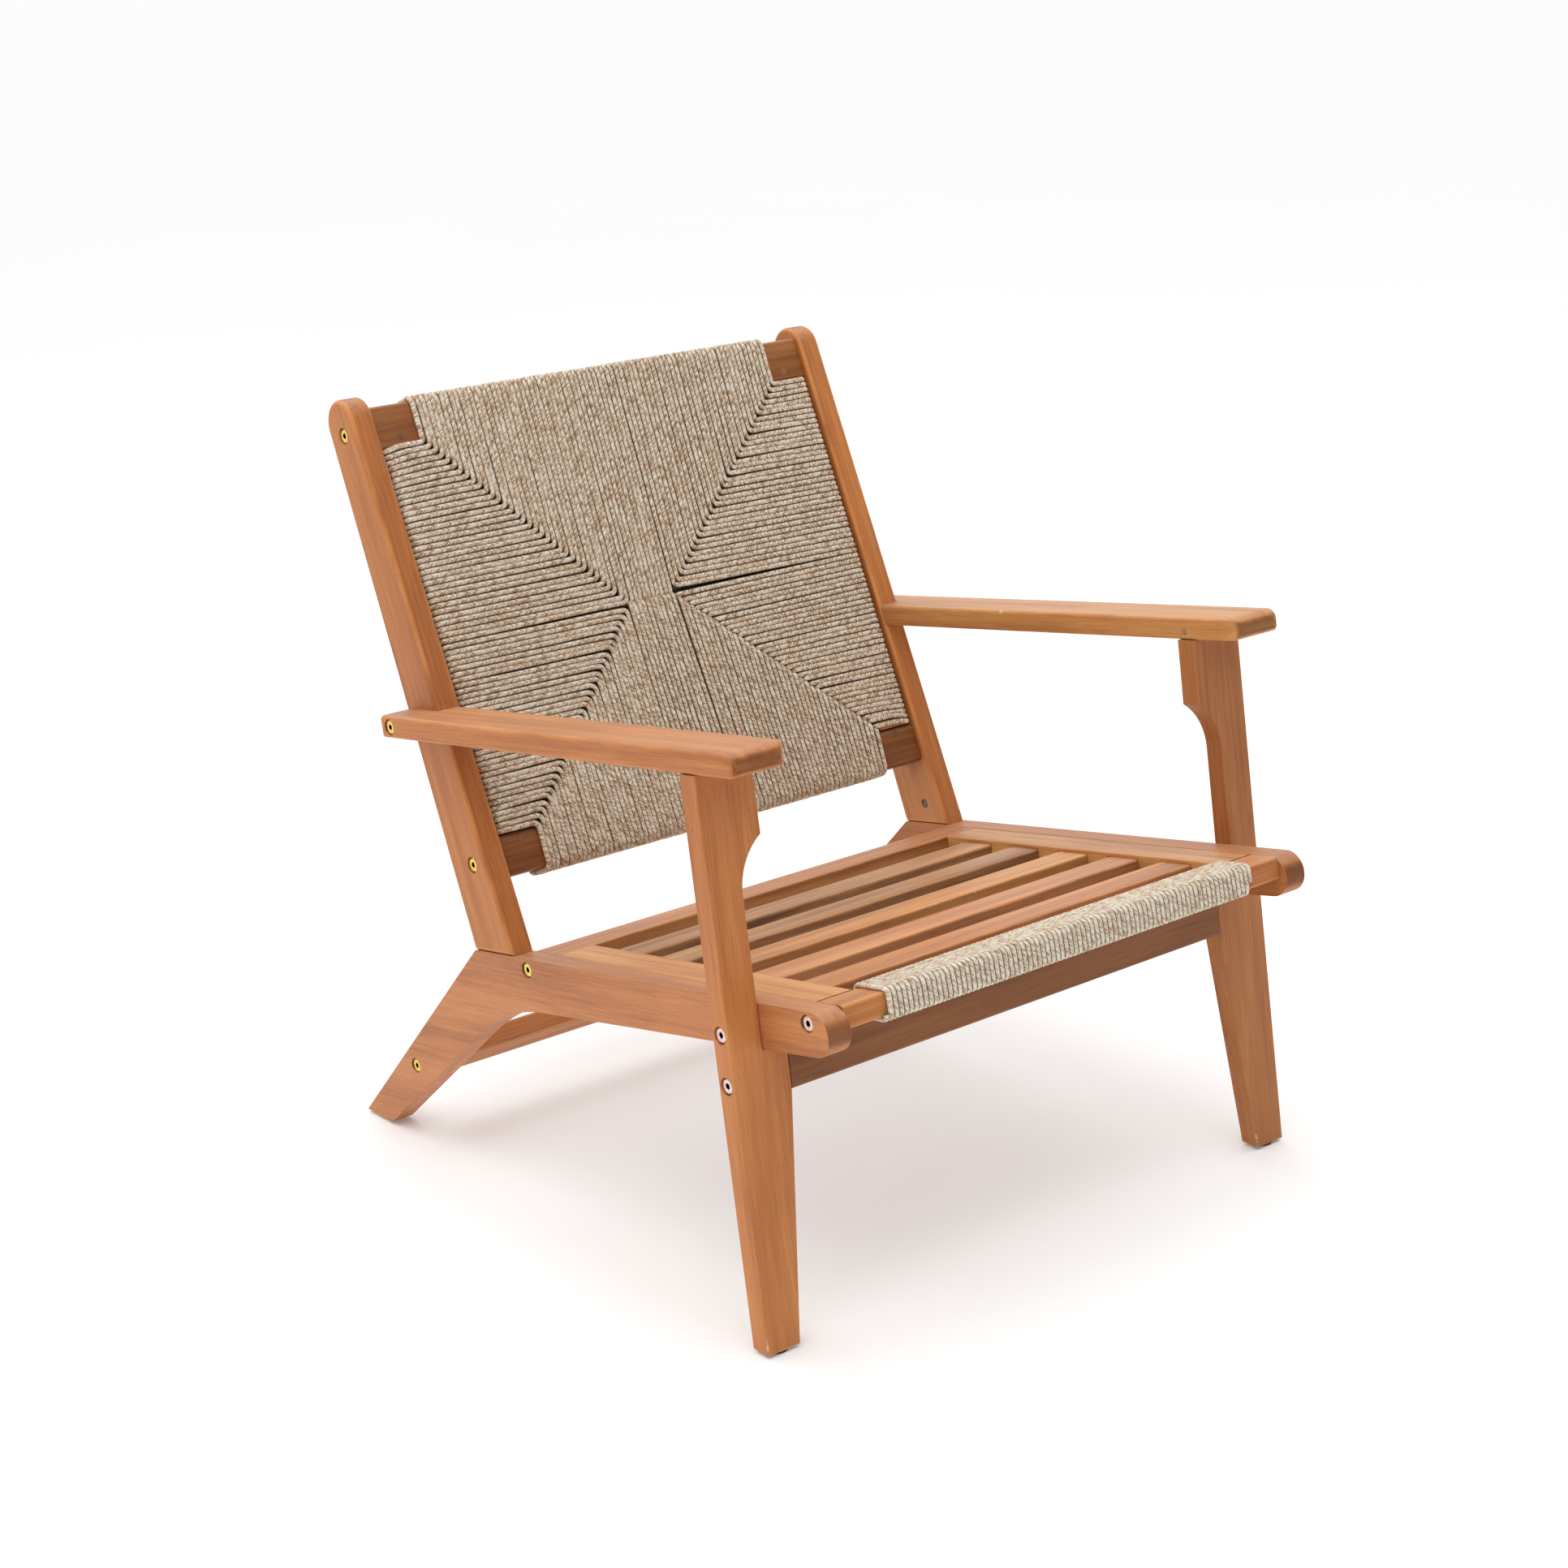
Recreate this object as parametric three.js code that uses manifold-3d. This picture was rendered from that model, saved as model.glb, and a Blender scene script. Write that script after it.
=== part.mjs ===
// Low wooden armchair with a rope back: a knock-down frame of planks, held by furniture bolts.
// Millimetres, +Z up, +Y to the rear, the chair faces -Y. Right-hand pieces are modelled at +X
// and the left-hand ones are their mirror images.
import * as THREE from "three";
import { mergeVertices } from "three/addons/utils/BufferGeometryUtils.js";
import Module from "manifold-3d";

const wasm = await Module();
wasm.setup();

// ---- driving dimensions ----

const GAP = 0.3; // air between touching pieces
const HALF_WIDTH = 330; // outer faces of the front legs and the arms
const PLANK = 25.5; // thickness of the side panels and the back posts
const PANEL_OUT = 294; // outer face of a side panel
const PANEL_IN = PANEL_OUT - PLANK;
const FOOT_Z = 3; // the glides lift the wood this far off the floor

// Each inclined assembly has its own frame: an origin (y, z) and a rearward tilt in degrees.
// In a frame, y runs rearward and z runs up, square to it.
const WORLD = { y: 0, z: 0, tilt: 0 };
const SEAT = { y: 100, z: 259.4, tilt: 8.25 }; // z = 0 is the top of the side rails
const BACK = { y: 105.6, z: 258.8, tilt: 22.7 }; // y = 0 is the front of the posts
const LEG = { y: -320, z: 2.8, tilt: 5.89 }; // y = 0 is the front of the front legs
const ARM = { y: -320, z: 529.5, tilt: 6.86 }; // the lower front edge of the arms
const BRACE = { y: 314.8, z: 85.6, tilt: -46 }; // the middle of the rear stretcher

const RAIL_T = 22; // thickness of the seat rails
const REAR_RAIL_W = 43;
const REAR_RAIL_Y = -40; // front edge of the rear seat rail
const FRONT_RAIL_Y = -477;
const FRONT_RAIL_W = 36;
const NOSE_R = 20; // round front end of a side panel
const NOSE_Y = -465;

const STRIP_IN = 228.6; // inner face of a seat strip
const SLAT_COUNT = 5;
const SLAT_W = 42;
const SLAT_T = 12;
const SLAT_TOP = -4;
const SLAT_PITCH = 72.5;
const SLAT_FIRST_Y = -110; // front edge of the rearmost slat
const HOUSING = 9.5; // depth to which a slat enters its strip

const LEG_T = 22;
const LEG_FOOT_IN = 294; // inner face of a leg at the floor
const APRON_Z = 229;
const APRON_H = 36;
const NOTCH_Z = 410; // lower end of the hollow curve in a front leg
const NOTCH_R = 58;

const ARM_T = 22;
const ARM_L = 574.5;
const TENON_T = 12;

const POST_TOP_R = 25;
const POST_TOP_Z = 548; // centre of the round top
const BACK_RAIL_Y = 7; // front face of the back rails and stiles
const BACK_RAIL_T = 34;
const TOP_RAIL_Z = [514, 558];
const LOW_RAIL_Z = [76, 118];
const STILE_X = 242;
const STILE_W = 37;

const ROPE = 5.3; // thickness of the rope skin
const BACK_WRAP_X = 223; // half width of the part wound over the back rails
const FRONT_WRAP_X = STRIP_IN - GAP;

const BOLT_R = 3;
const HEAD_R = 7;
const HOLE_R = 7.6;
const NUT_R = 5;

// ---- materials ----

function material(color, roughness, metalness) {
  return new THREE.MeshStandardMaterial({ color, roughness, metalness });
}

const wood = material(0xb9784a, 0.55, 0);
const paleWood = material(0xc98f5c, 0.55, 0);
const greyWood = material(0xa9754f, 0.6, 0);
const rope = material(0xb59c78, 0.9, 0);
const brass = material(0xc9b04a, 0.35, 1);
const steel = material(0xb9a7a4, 0.35, 1);
const rubber = material(0x2b2826, 0.8, 0);

// ---- solids ----

// A closed three.js geometry as a solid that can be joined and cut.
function solid(geometry) {
  const bare = geometry.clone();
  bare.deleteAttribute("normal");
  bare.deleteAttribute("uv");
  const merged = mergeVertices(bare, 1e-4);
  return new wasm.Manifold(
    new wasm.Mesh({
      numProp: 3,
      vertProperties: merged.attributes.position.array,
      triVerts: new Uint32Array(merged.index.array),
    }),
  );
}

function geometryOf(body) {
  const mesh = body.getMesh();
  const geometry = new THREE.BufferGeometry();
  geometry.setAttribute("position", new THREE.BufferAttribute(mesh.vertProperties, 3));
  geometry.setIndex(new THREE.BufferAttribute(mesh.triVerts, 1));
  geometry.computeVertexNormals();
  return geometry;
}

function cut(body, ...tools) {
  return tools.reduce((left, tool) => left.subtract(tool), body);
}

function block(x, y, z) {
  const geometry = new THREE.BoxGeometry(x[1] - x[0], y[1] - y[0], z[1] - z[0]);
  geometry.translate((x[0] + x[1]) / 2, (y[0] + y[1]) / 2, (z[0] + z[1]) / 2);
  return solid(geometry);
}

// A side outline, drawn in (y, z), as a plank from x0 to x1.
function sidePlank(shape, x0, x1) {
  const geometry = new THREE.ExtrudeGeometry(shape, {
    depth: x1 - x0,
    bevelEnabled: false,
    curveSegments: 16,
  });
  const axes = new THREE.Matrix4().makeBasis(
    new THREE.Vector3(0, 1, 0),
    new THREE.Vector3(0, 0, 1),
    new THREE.Vector3(1, 0, 0),
  );
  geometry.applyMatrix4(axes);
  geometry.translate(x0, 0, 0);
  return solid(geometry);
}

// A front outline, drawn in (x, z), as a plank from y0 to y1.
function frontPlank(shape, y0, y1) {
  const geometry = new THREE.ExtrudeGeometry(shape, {
    depth: y1 - y0,
    bevelEnabled: false,
    curveSegments: 12,
  });
  geometry.rotateX(Math.PI / 2);
  geometry.translate(0, y1, 0);
  return solid(geometry);
}

// A round rod along an axis ("x", "y" or "z"), from a to b, through the other two coordinates.
function rod(axis, radius, a, b, u, v, sides = 20) {
  const geometry = new THREE.CylinderGeometry(radius, radius, b - a, sides);
  const middle = (a + b) / 2;
  if (axis === "x") geometry.rotateZ(-Math.PI / 2).translate(middle, u, v);
  if (axis === "y") geometry.translate(u, middle, v);
  if (axis === "z") geometry.rotateX(Math.PI / 2).translate(u, v, middle);
  return solid(geometry);
}

// ---- frames ----

function toWorld(frame, [y, z]) {
  const a = THREE.MathUtils.degToRad(frame.tilt);
  const c = Math.cos(a);
  const s = Math.sin(a);
  return [frame.y + y * c + z * s, frame.z - y * s + z * c];
}

function toLocal(frame, [y, z]) {
  const a = THREE.MathUtils.degToRad(frame.tilt);
  const c = Math.cos(a);
  const s = Math.sin(a);
  const dy = y - frame.y;
  const dz = z - frame.z;
  return [dy * c - dz * s, dy * s + dz * c];
}

function between(from, to, point) {
  return toLocal(to, toWorld(from, point));
}

// The z of the line through two points, at y.
function lineAt([ya, za], [yb, zb], y) {
  return za + ((zb - za) * (y - ya)) / (yb - ya);
}

function frameGroup(frame) {
  const group = new THREE.Group();
  group.position.set(0, frame.y, frame.z);
  group.rotation.x = -THREE.MathUtils.degToRad(frame.tilt);
  return group;
}

const chair = new THREE.Group();
const sides = frameGroup(WORLD);
const seat = frameGroup(SEAT);
const back = frameGroup(BACK);
const legs = frameGroup(LEG);
const arms = frameGroup(ARM);
const brace = frameGroup(BRACE);
chair.add(sides, seat, back, legs, arms, brace);

function place(group, name, body, look) {
  const mesh = new THREE.Mesh(geometryOf(body), look);
  mesh.name = name;
  group.add(mesh);
}

function placePair(group, name, body, look) {
  place(group, name + "_right", body, look);
  place(group, name + "_left", body.mirror([1, 0, 0]), look);
}

// ---- bolts: one per joint and side, along X, head outward ----

const BOLTS = [
  { name: "bolt_top_rail", frame: BACK, at: [24, 537], face: PANEL_OUT, length: 62, look: brass },
  { name: "bolt_low_rail", frame: BACK, at: [24, 97], face: PANEL_OUT, length: 62, look: brass },
  { name: "bolt_rear_rail", frame: SEAT, at: [-17, -11], face: PANEL_OUT, length: 62, look: brass },
  { name: "bolt_front_rail", frame: SEAT, at: [-458, -11], face: PANEL_OUT, length: 62, look: steel },
  { name: "bolt_stretcher", frame: BRACE, at: [0, 0], face: PANEL_OUT, length: 62, look: brass },
  { name: "bolt_leg_upper", frame: LEG, at: [11, 293], face: HALF_WIDTH, length: 58, look: steel },
  { name: "bolt_leg_lower", frame: LEG, at: [11, 247], face: HALF_WIDTH, length: 92, look: steel },
  { name: "bolt_arm_rear", frame: ARM, at: [560, 11], face: HALF_WIDTH, length: 56, look: brass },
];
const HEAD_SINK = 1.2; // a head lies this far below the wood

// The hole of each bolt, as it crosses a piece that is modelled in the given frame.
function boltHoles(frame, names) {
  return BOLTS.filter((bolt) => names.includes(bolt.name)).flatMap((bolt) => {
    const [y, z] = between(bolt.frame, frame, bolt.at);
    const tip = bolt.face - HEAD_SINK - bolt.length - 1;
    const seatX = bolt.face - HEAD_SINK - 4.3;
    return [
      rod("x", BOLT_R + 0.35, tip, bolt.face + 1, y, z, 12),
      rod("x", HOLE_R, seatX, bolt.face + 5, y, z, 24),
    ];
  });
}

function boltBody(length) {
  const profile = [
    [0, -length],
    [BOLT_R - 0.8, -length],
    [BOLT_R, -length + 1.5],
    [BOLT_R, -4],
    [HEAD_R - 0.6, -2],
    [HEAD_R, -1.4],
    [HEAD_R, -0.6],
    [HEAD_R - 0.8, 0],
    [0, 0],
  ];
  const points = profile.map(([r, along]) => new THREE.Vector2(r, along));
  const shank = solid(new THREE.LatheGeometry(points, 20));
  const socket = solid(new THREE.CylinderGeometry(2.6, 2.6, 6, 6));
  return shank.subtract(socket);
}

function addBolts() {
  const groups = new Map([[BACK, back], [SEAT, seat], [BRACE, brace], [LEG, legs], [ARM, arms]]);
  for (const bolt of BOLTS) {
    const body = boltBody(bolt.length)
      .rotate([0, 0, -90])
      .translate([bolt.face - HEAD_SINK, bolt.at[0], bolt.at[1]]);
    placePair(groups.get(bolt.frame), bolt.name, body, bolt.look);
  }
}

// ---- side panel: seat side rail and raked rear leg in one plank ----

const REAR_CORNER = [75, 0]; // in the seat frame: where the post's rear face lands
const UNDER_REAR = [-30, -52];
const UNDER_FRONT = [NOSE_Y, -2 * NOSE_R];

function sidePanel() {
  const shape = new THREE.Shape();
  const corner = toWorld(SEAT, REAR_CORNER);
  const nose = toWorld(SEAT, [NOSE_Y, -NOSE_R]);
  const turn = THREE.MathUtils.degToRad(-SEAT.tilt);
  shape.moveTo(429, FOOT_Z);
  shape.lineTo(...corner);
  shape.absarc(...nose, NOSE_R, Math.PI / 2 + turn, (3 * Math.PI) / 2 + turn, false);
  shape.lineTo(...toWorld(SEAT, UNDER_REAR));
  shape.quadraticCurveTo(124, 201, 188, 152.5);
  shape.lineTo(378.5, FOOT_Z);
  return sidePlank(shape, PANEL_IN, PANEL_OUT);
}

// The bolt that pulls a post down on its panel, with the barrel nut that it enters.
const NUT_AT = [26, 29.7]; // in the back frame
const NUT_X = PANEL_IN + 9.5;
const CROSS_BOLT = { top: 36, seatZ: -40, headT: 4 };

function crossBoltHole() {
  const shank = rod("z", BOLT_R + 0.35, -90, 42, NUT_X, NUT_AT[0], 12);
  const counterbore = rod("z", HOLE_R, -90, CROSS_BOLT.seatZ + 0.3, NUT_X, NUT_AT[0], 20);
  return shank.add(counterbore);
}

function addPanels() {
  const [y, z] = toLocal(BACK, [0, 0]);
  const hole = crossBoltHole().translate([0, -y, -z]).rotate([-BACK.tilt, 0, 0]);
  const glideHole = rod("z", 1.8, 0, 16, (PANEL_IN + PANEL_OUT) / 2, REAR_GLIDE_Y, 10);
  const names = ["bolt_rear_rail", "bolt_front_rail", "bolt_stretcher", "bolt_leg_upper"];
  const body = cut(sidePanel(), hole, glideHole, ...boltHoles(WORLD, names));
  placePair(sides, "side_panel", body, wood);
}

// ---- seat: rails, strips and slats ----

function addSeatRails() {
  const x = PANEL_IN - GAP;
  const rear = block([-x, x], [REAR_RAIL_Y, REAR_RAIL_Y + REAR_RAIL_W], [-RAIL_T, 0]);
  const front = block([-x, x], [FRONT_RAIL_Y, FRONT_RAIL_Y + FRONT_RAIL_W], [-RAIL_T, 0]);
  place(seat, "rear_seat_rail", cut(rear, ...bothSides("bolt_rear_rail")), wood);
  place(seat, "front_seat_rail", cut(front, ...bothSides("bolt_front_rail")), paleWood);
}

function bothSides(name) {
  const frame = BOLTS.find((bolt) => bolt.name === name).frame;
  return boltHoles(frame, [name]).flatMap((hole) => [hole, hole.mirror([1, 0, 0])]);
}

function slatFront(i) {
  return SLAT_FIRST_Y - i * SLAT_PITCH;
}

function addStrips() {
  const y0 = FRONT_RAIL_Y + FRONT_RAIL_W + GAP;
  let strip = block([STRIP_IN, PANEL_IN - GAP], [y0, REAR_RAIL_Y - GAP], [-RAIL_T, 0]);
  for (let i = 0; i < SLAT_COUNT; i++) {
    const y = slatFront(i);
    const housing = block(
      [STRIP_IN - 1, STRIP_IN + HOUSING + GAP],
      [y - GAP, y + SLAT_W + GAP],
      [SLAT_TOP - SLAT_T - GAP, SLAT_TOP + GAP],
    );
    strip = strip.subtract(housing);
  }
  placePair(seat, "seat_strip", strip, paleWood);
}

function addSlats() {
  const x = STRIP_IN + HOUSING;
  const looks = [greyWood, greyWood, paleWood, paleWood, wood];
  for (let i = 0; i < SLAT_COUNT; i++) {
    const y = slatFront(i);
    const slat = block([-x, x], [y, y + SLAT_W], [SLAT_TOP - SLAT_T, SLAT_TOP]);
    place(seat, "seat_slat_" + (i + 1), slat, looks[i]);
  }
}

function addFrontWrap() {
  const y0 = FRONT_RAIL_Y - GAP;
  const y1 = FRONT_RAIL_Y + FRONT_RAIL_W + GAP;
  const outline = roundedBox(y0 - ROPE, y1 + ROPE, -RAIL_T - GAP - ROPE, GAP + ROPE, 7);
  outline.holes.push(roundedBox(y0, y1, -RAIL_T - GAP, GAP, 0.2));
  place(seat, "front_rail_wrap", sidePlank(outline, -FRONT_WRAP_X, FRONT_WRAP_X), rope);
}

function roundedBox(u0, u1, v0, v1, r) {
  const shape = new THREE.Shape();
  shape.moveTo(u0 + r, v0);
  shape.lineTo(u1 - r, v0);
  shape.absarc(u1 - r, v0 + r, r, -Math.PI / 2, 0, false);
  shape.absarc(u1 - r, v1 - r, r, 0, Math.PI / 2, false);
  shape.absarc(u0 + r, v1 - r, r, Math.PI / 2, Math.PI, false);
  shape.absarc(u0 + r, v0 + r, r, Math.PI, 1.5 * Math.PI, false);
  return shape;
}

// ---- front legs and apron ----

// The corners of a leg's side view, cut level at the floor and along the arm at the top.
function legSide() {
  const a = THREE.MathUtils.degToRad(LEG.tilt);
  const floor = (y) => (FOOT_Z - LEG.z + y * Math.sin(a)) / Math.cos(a);
  const under = [[0, -GAP], [100, -GAP]].map((p) => between(ARM, LEG, p));
  const top = (y) => lineAt(...under, y);
  const shape = new THREE.Shape();
  shape.moveTo(0, floor(0));
  shape.lineTo(LEG_T, floor(LEG_T));
  shape.lineTo(LEG_T, top(LEG_T));
  shape.lineTo(0, top(0));
  return { shape, top };
}

function legFront() {
  const shape = new THREE.Shape();
  shape.moveTo(LEG_FOOT_IN, -5);
  shape.lineTo(HALF_WIDTH, -5);
  shape.lineTo(HALF_WIDTH, 600);
  shape.lineTo(PANEL_IN, 600);
  shape.lineTo(PANEL_IN, APRON_Z);
  return shape;
}

// The hollow above the side panel, and the lap that takes the panel itself.
function legNotch() {
  const x = PANEL_OUT + GAP;
  const rise = Math.acos((PANEL_IN - 0.5 - (x - NOTCH_R)) / NOTCH_R);
  const shape = new THREE.Shape();
  shape.moveTo(PANEL_IN - 8, 300);
  shape.lineTo(PANEL_IN - 8, NOTCH_Z + NOTCH_R * Math.sin(rise));
  shape.absarc(x - NOTCH_R, NOTCH_Z, NOTCH_R, rise, 0, true);
  shape.lineTo(x, 300);
  const hollow = frontPlank(shape, -5, LEG_T + 5);
  const under = [UNDER_REAR, UNDER_FRONT].map((p) => between(SEAT, LEG, p));
  const lap = new THREE.Shape();
  lap.moveTo(-5, lineAt(...under, -5) - GAP);
  lap.lineTo(LEG_T + 5, lineAt(...under, LEG_T + 5) - GAP);
  lap.lineTo(LEG_T + 5, 320);
  lap.lineTo(-5, 320);
  return hollow.add(sidePlank(lap, PANEL_IN - 8, x));
}

const TENON_X = [281, 318];
const TENON_RISE = 15;
const PIN_RISE = 8; // height of the tenon pin above the underside of the arm

function addLegs() {
  const { shape, top } = legSide();
  const plank = sidePlank(shape, PANEL_IN - 1, HALF_WIDTH + 1);
  const outline = frontPlank(legFront(), -5, LEG_T + 5);
  const tenonY = [(LEG_T - TENON_T) / 2, (LEG_T + TENON_T) / 2];
  const middle = top(LEG_T / 2);
  const tenon = block(TENON_X, tenonY, [middle - 8, middle + TENON_RISE]);
  const pin = rod("x", PIN_R + 0.1, PANEL_IN - 1, PIN_END + 0.3, LEG_T / 2, middle + PIN_RISE, 14);
  const glideHole = rod("z", 1.8, 0, 16, FRONT_GLIDE_X, FRONT_GLIDE_Y, 10)
    .translate([0, -LEG.y, -LEG.z])
    .rotate([LEG.tilt, 0, 0]);
  const names = ["bolt_leg_upper", "bolt_leg_lower"];
  const leg = plank.intersect(outline).add(tenon);
  placePair(legs, "front_leg", cut(leg, legNotch(), pin, glideHole, ...boltHoles(LEG, names)), wood);
}

function addApron() {
  const x = PANEL_IN - GAP;
  const apron = block([-x, x], [0, LEG_T], [APRON_Z, APRON_Z + APRON_H]);
  place(legs, "front_apron", cut(apron, ...bothSides("bolt_leg_lower")), wood);
}

// ---- arms ----

const PIN_R = 3.2;
const PIN_END = 306;

function armSide() {
  const rTop = 12;
  const rLow = 6;
  const shape = new THREE.Shape();
  shape.moveTo(rLow, 0);
  shape.lineTo(ARM_L, 0);
  shape.lineTo(ARM_L, ARM_T);
  shape.lineTo(rTop, ARM_T);
  shape.absarc(rTop, ARM_T - rTop, rTop, Math.PI / 2, Math.PI, false);
  shape.absarc(rLow, rLow, rLow, Math.PI, 1.5 * Math.PI, false);
  return shape;
}

// The plan of an arm, drawn in (x, y): round front corners, the inner one larger.
function armPlan() {
  const inner = 14;
  const outer = 4;
  const shape = new THREE.Shape();
  shape.moveTo(HALF_WIDTH, ARM_L + 1);
  shape.lineTo(PANEL_IN, ARM_L + 1);
  shape.absarc(PANEL_IN + inner, inner, inner, Math.PI, 1.5 * Math.PI, false);
  shape.absarc(HALF_WIDTH - outer, outer, outer, 1.5 * Math.PI, 2 * Math.PI, false);
  return shape;
}

// The corner cut out of an arm so that it passes the post outside and butts against its front.
function postNotch() {
  const front = [[-GAP, 100], [-GAP, 400]].map((p) => between(BACK, ARM, p));
  const shape = new THREE.Shape();
  const yAt = (z) => lineAt(...front.map(([y, h]) => [h, y]), z);
  shape.moveTo(yAt(-5), -5);
  shape.lineTo(ARM_L + 10, -5);
  shape.lineTo(ARM_L + 10, ARM_T + 5);
  shape.lineTo(yAt(ARM_T + 5), ARM_T + 5);
  return sidePlank(shape, PANEL_IN - 5, PANEL_OUT + GAP);
}

// The pin through the leg's tenon, in the arm's frame.
function tenonPin() {
  const z = legSide().top(LEG_T / 2) + PIN_RISE;
  return between(LEG, ARM, [LEG_T / 2, z]);
}

function addArms() {
  const planGeometry = new THREE.ExtrudeGeometry(armPlan(), {
    depth: ARM_T + 2,
    bevelEnabled: false,
    curveSegments: 10,
  });
  const plan = solid(planGeometry.translate(0, 0, -1));
  const middle = legSide().top(LEG_T / 2);
  const tenonY = [(LEG_T - TENON_T) / 2 - GAP, (LEG_T + TENON_T) / 2 + GAP];
  const mortise = block(
    [TENON_X[0] - GAP, TENON_X[1] + GAP],
    tenonY,
    [middle - 8, middle + TENON_RISE + GAP],
  );
  const [ly, lz] = toLocal(LEG, [ARM.y, ARM.z]);
  const mortiseInArm = mortise.translate([0, -ly, -lz]).rotate([ARM.tilt - LEG.tilt, 0, 0]);
  const pinHole = rod("x", PIN_R + 0.1, PANEL_IN - 1, PIN_END + 0.3, ...tenonPin(), 14);
  const body = sidePlank(armSide(), PANEL_IN, HALF_WIDTH).intersect(plan);
  const holes = boltHoles(ARM, ["bolt_arm_rear"]);
  placePair(arms, "arm", cut(body, postNotch(), mortiseInArm, pinHole, ...holes), wood);
  const pin = rod("x", PIN_R, PANEL_IN, PIN_END, ...tenonPin(), 14);
  placePair(arms, "arm_pin", pin, greyWood);
}

// ---- back: posts, rails, stiles and the woven skin ----

function backPost() {
  const line = [[75, 0], [-10, 0]].map((p) => between(SEAT, BACK, p));
  const rear = line[0];
  const shape = new THREE.Shape();
  shape.moveTo(0, lineAt(...line, 0) + GAP);
  shape.lineTo(rear[0], rear[1] + GAP);
  shape.absarc(POST_TOP_R, POST_TOP_Z, POST_TOP_R, 0, Math.PI, false);
  return sidePlank(shape, PANEL_IN, PANEL_OUT);
}

function addPosts() {
  const nutHole = rod("x", NUT_R + 0.2, PANEL_IN - 1, PANEL_IN + 20, ...NUT_AT);
  const names = ["bolt_top_rail", "bolt_low_rail", "bolt_arm_rear"];
  const body = cut(backPost(), crossBoltHole(), nutHole, ...boltHoles(BACK, names));
  placePair(back, "back_post", body, wood);
}

const PLUG_R = 3.7;
const TOP_PLUG_Z = 523.5;
const LOW_PLUG_Z = 110.5;
const PLUG_DEPTH = 24;
const STILE_TENON = 14;

function stileTenon(grow) {
  const x = [STILE_X - 10 - grow, STILE_X + 10 + grow];
  const middle = BACK_RAIL_Y + BACK_RAIL_T / 2;
  const y = [middle - TENON_T / 2 - grow, middle + TENON_T / 2 + grow];
  const z = [LOW_RAIL_Z[1] - STILE_TENON - grow, TOP_RAIL_Z[0] + STILE_TENON + grow];
  return block(x, y, z);
}

function plugHole(z, grow) {
  return rod("y", PLUG_R + grow, BACK_RAIL_Y - 10 * grow, BACK_RAIL_Y + PLUG_DEPTH + grow, STILE_X, z, 16);
}

// A back rail's section, drawn in (y, z): eased front edges, the upper one of the low rail more.
function backRailSection([z0, z1], topEase, lowEase) {
  const y0 = BACK_RAIL_Y;
  const shape = new THREE.Shape();
  shape.moveTo(y0, z0 + lowEase);
  shape.quadraticCurveTo(y0, z0, y0 + lowEase, z0);
  shape.lineTo(y0 + BACK_RAIL_T, z0);
  shape.lineTo(y0 + BACK_RAIL_T, z1);
  shape.lineTo(y0 + topEase, z1);
  shape.lineTo(y0, z1 - topEase);
  return shape;
}

function addBackRails() {
  const x = PANEL_IN - GAP;
  const mortise = stileTenon(GAP);
  const topBody = sidePlank(backRailSection(TOP_RAIL_Z, 1.5, 2), -x, x);
  const lowBody = sidePlank(backRailSection(LOW_RAIL_Z, 6, 5), -x, x);
  const topTools = [mortise, plugHole(TOP_PLUG_Z, 0.1)];
  const lowTools = [mortise, plugHole(LOW_PLUG_Z, 0.1)];
  const twice = (tools) => tools.flatMap((tool) => [tool, tool.mirror([1, 0, 0])]);
  place(back, "back_top_rail", cut(topBody, ...twice(topTools), ...bothSides("bolt_top_rail")), wood);
  place(back, "back_low_rail", cut(lowBody, ...twice(lowTools), ...bothSides("bolt_low_rail")), wood);
}

function addStiles() {
  const x = [STILE_X - STILE_W / 2, STILE_X + STILE_W / 2];
  const y = [BACK_RAIL_Y, BACK_RAIL_Y + BACK_RAIL_T];
  const stile = block(x, y, [LOW_RAIL_Z[1] + GAP, TOP_RAIL_Z[0] - GAP]).add(stileTenon(0));
  const body = cut(stile, plugHole(TOP_PLUG_Z, 0.1), plugHole(LOW_PLUG_Z, 0.1));
  placePair(back, "back_stile", body, wood);
  placePair(back, "plug_top_rail", plugHole(TOP_PLUG_Z, 0), greyWood);
  placePair(back, "plug_low_rail", plugHole(LOW_PLUG_Z, 0), paleWood);
}

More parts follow.
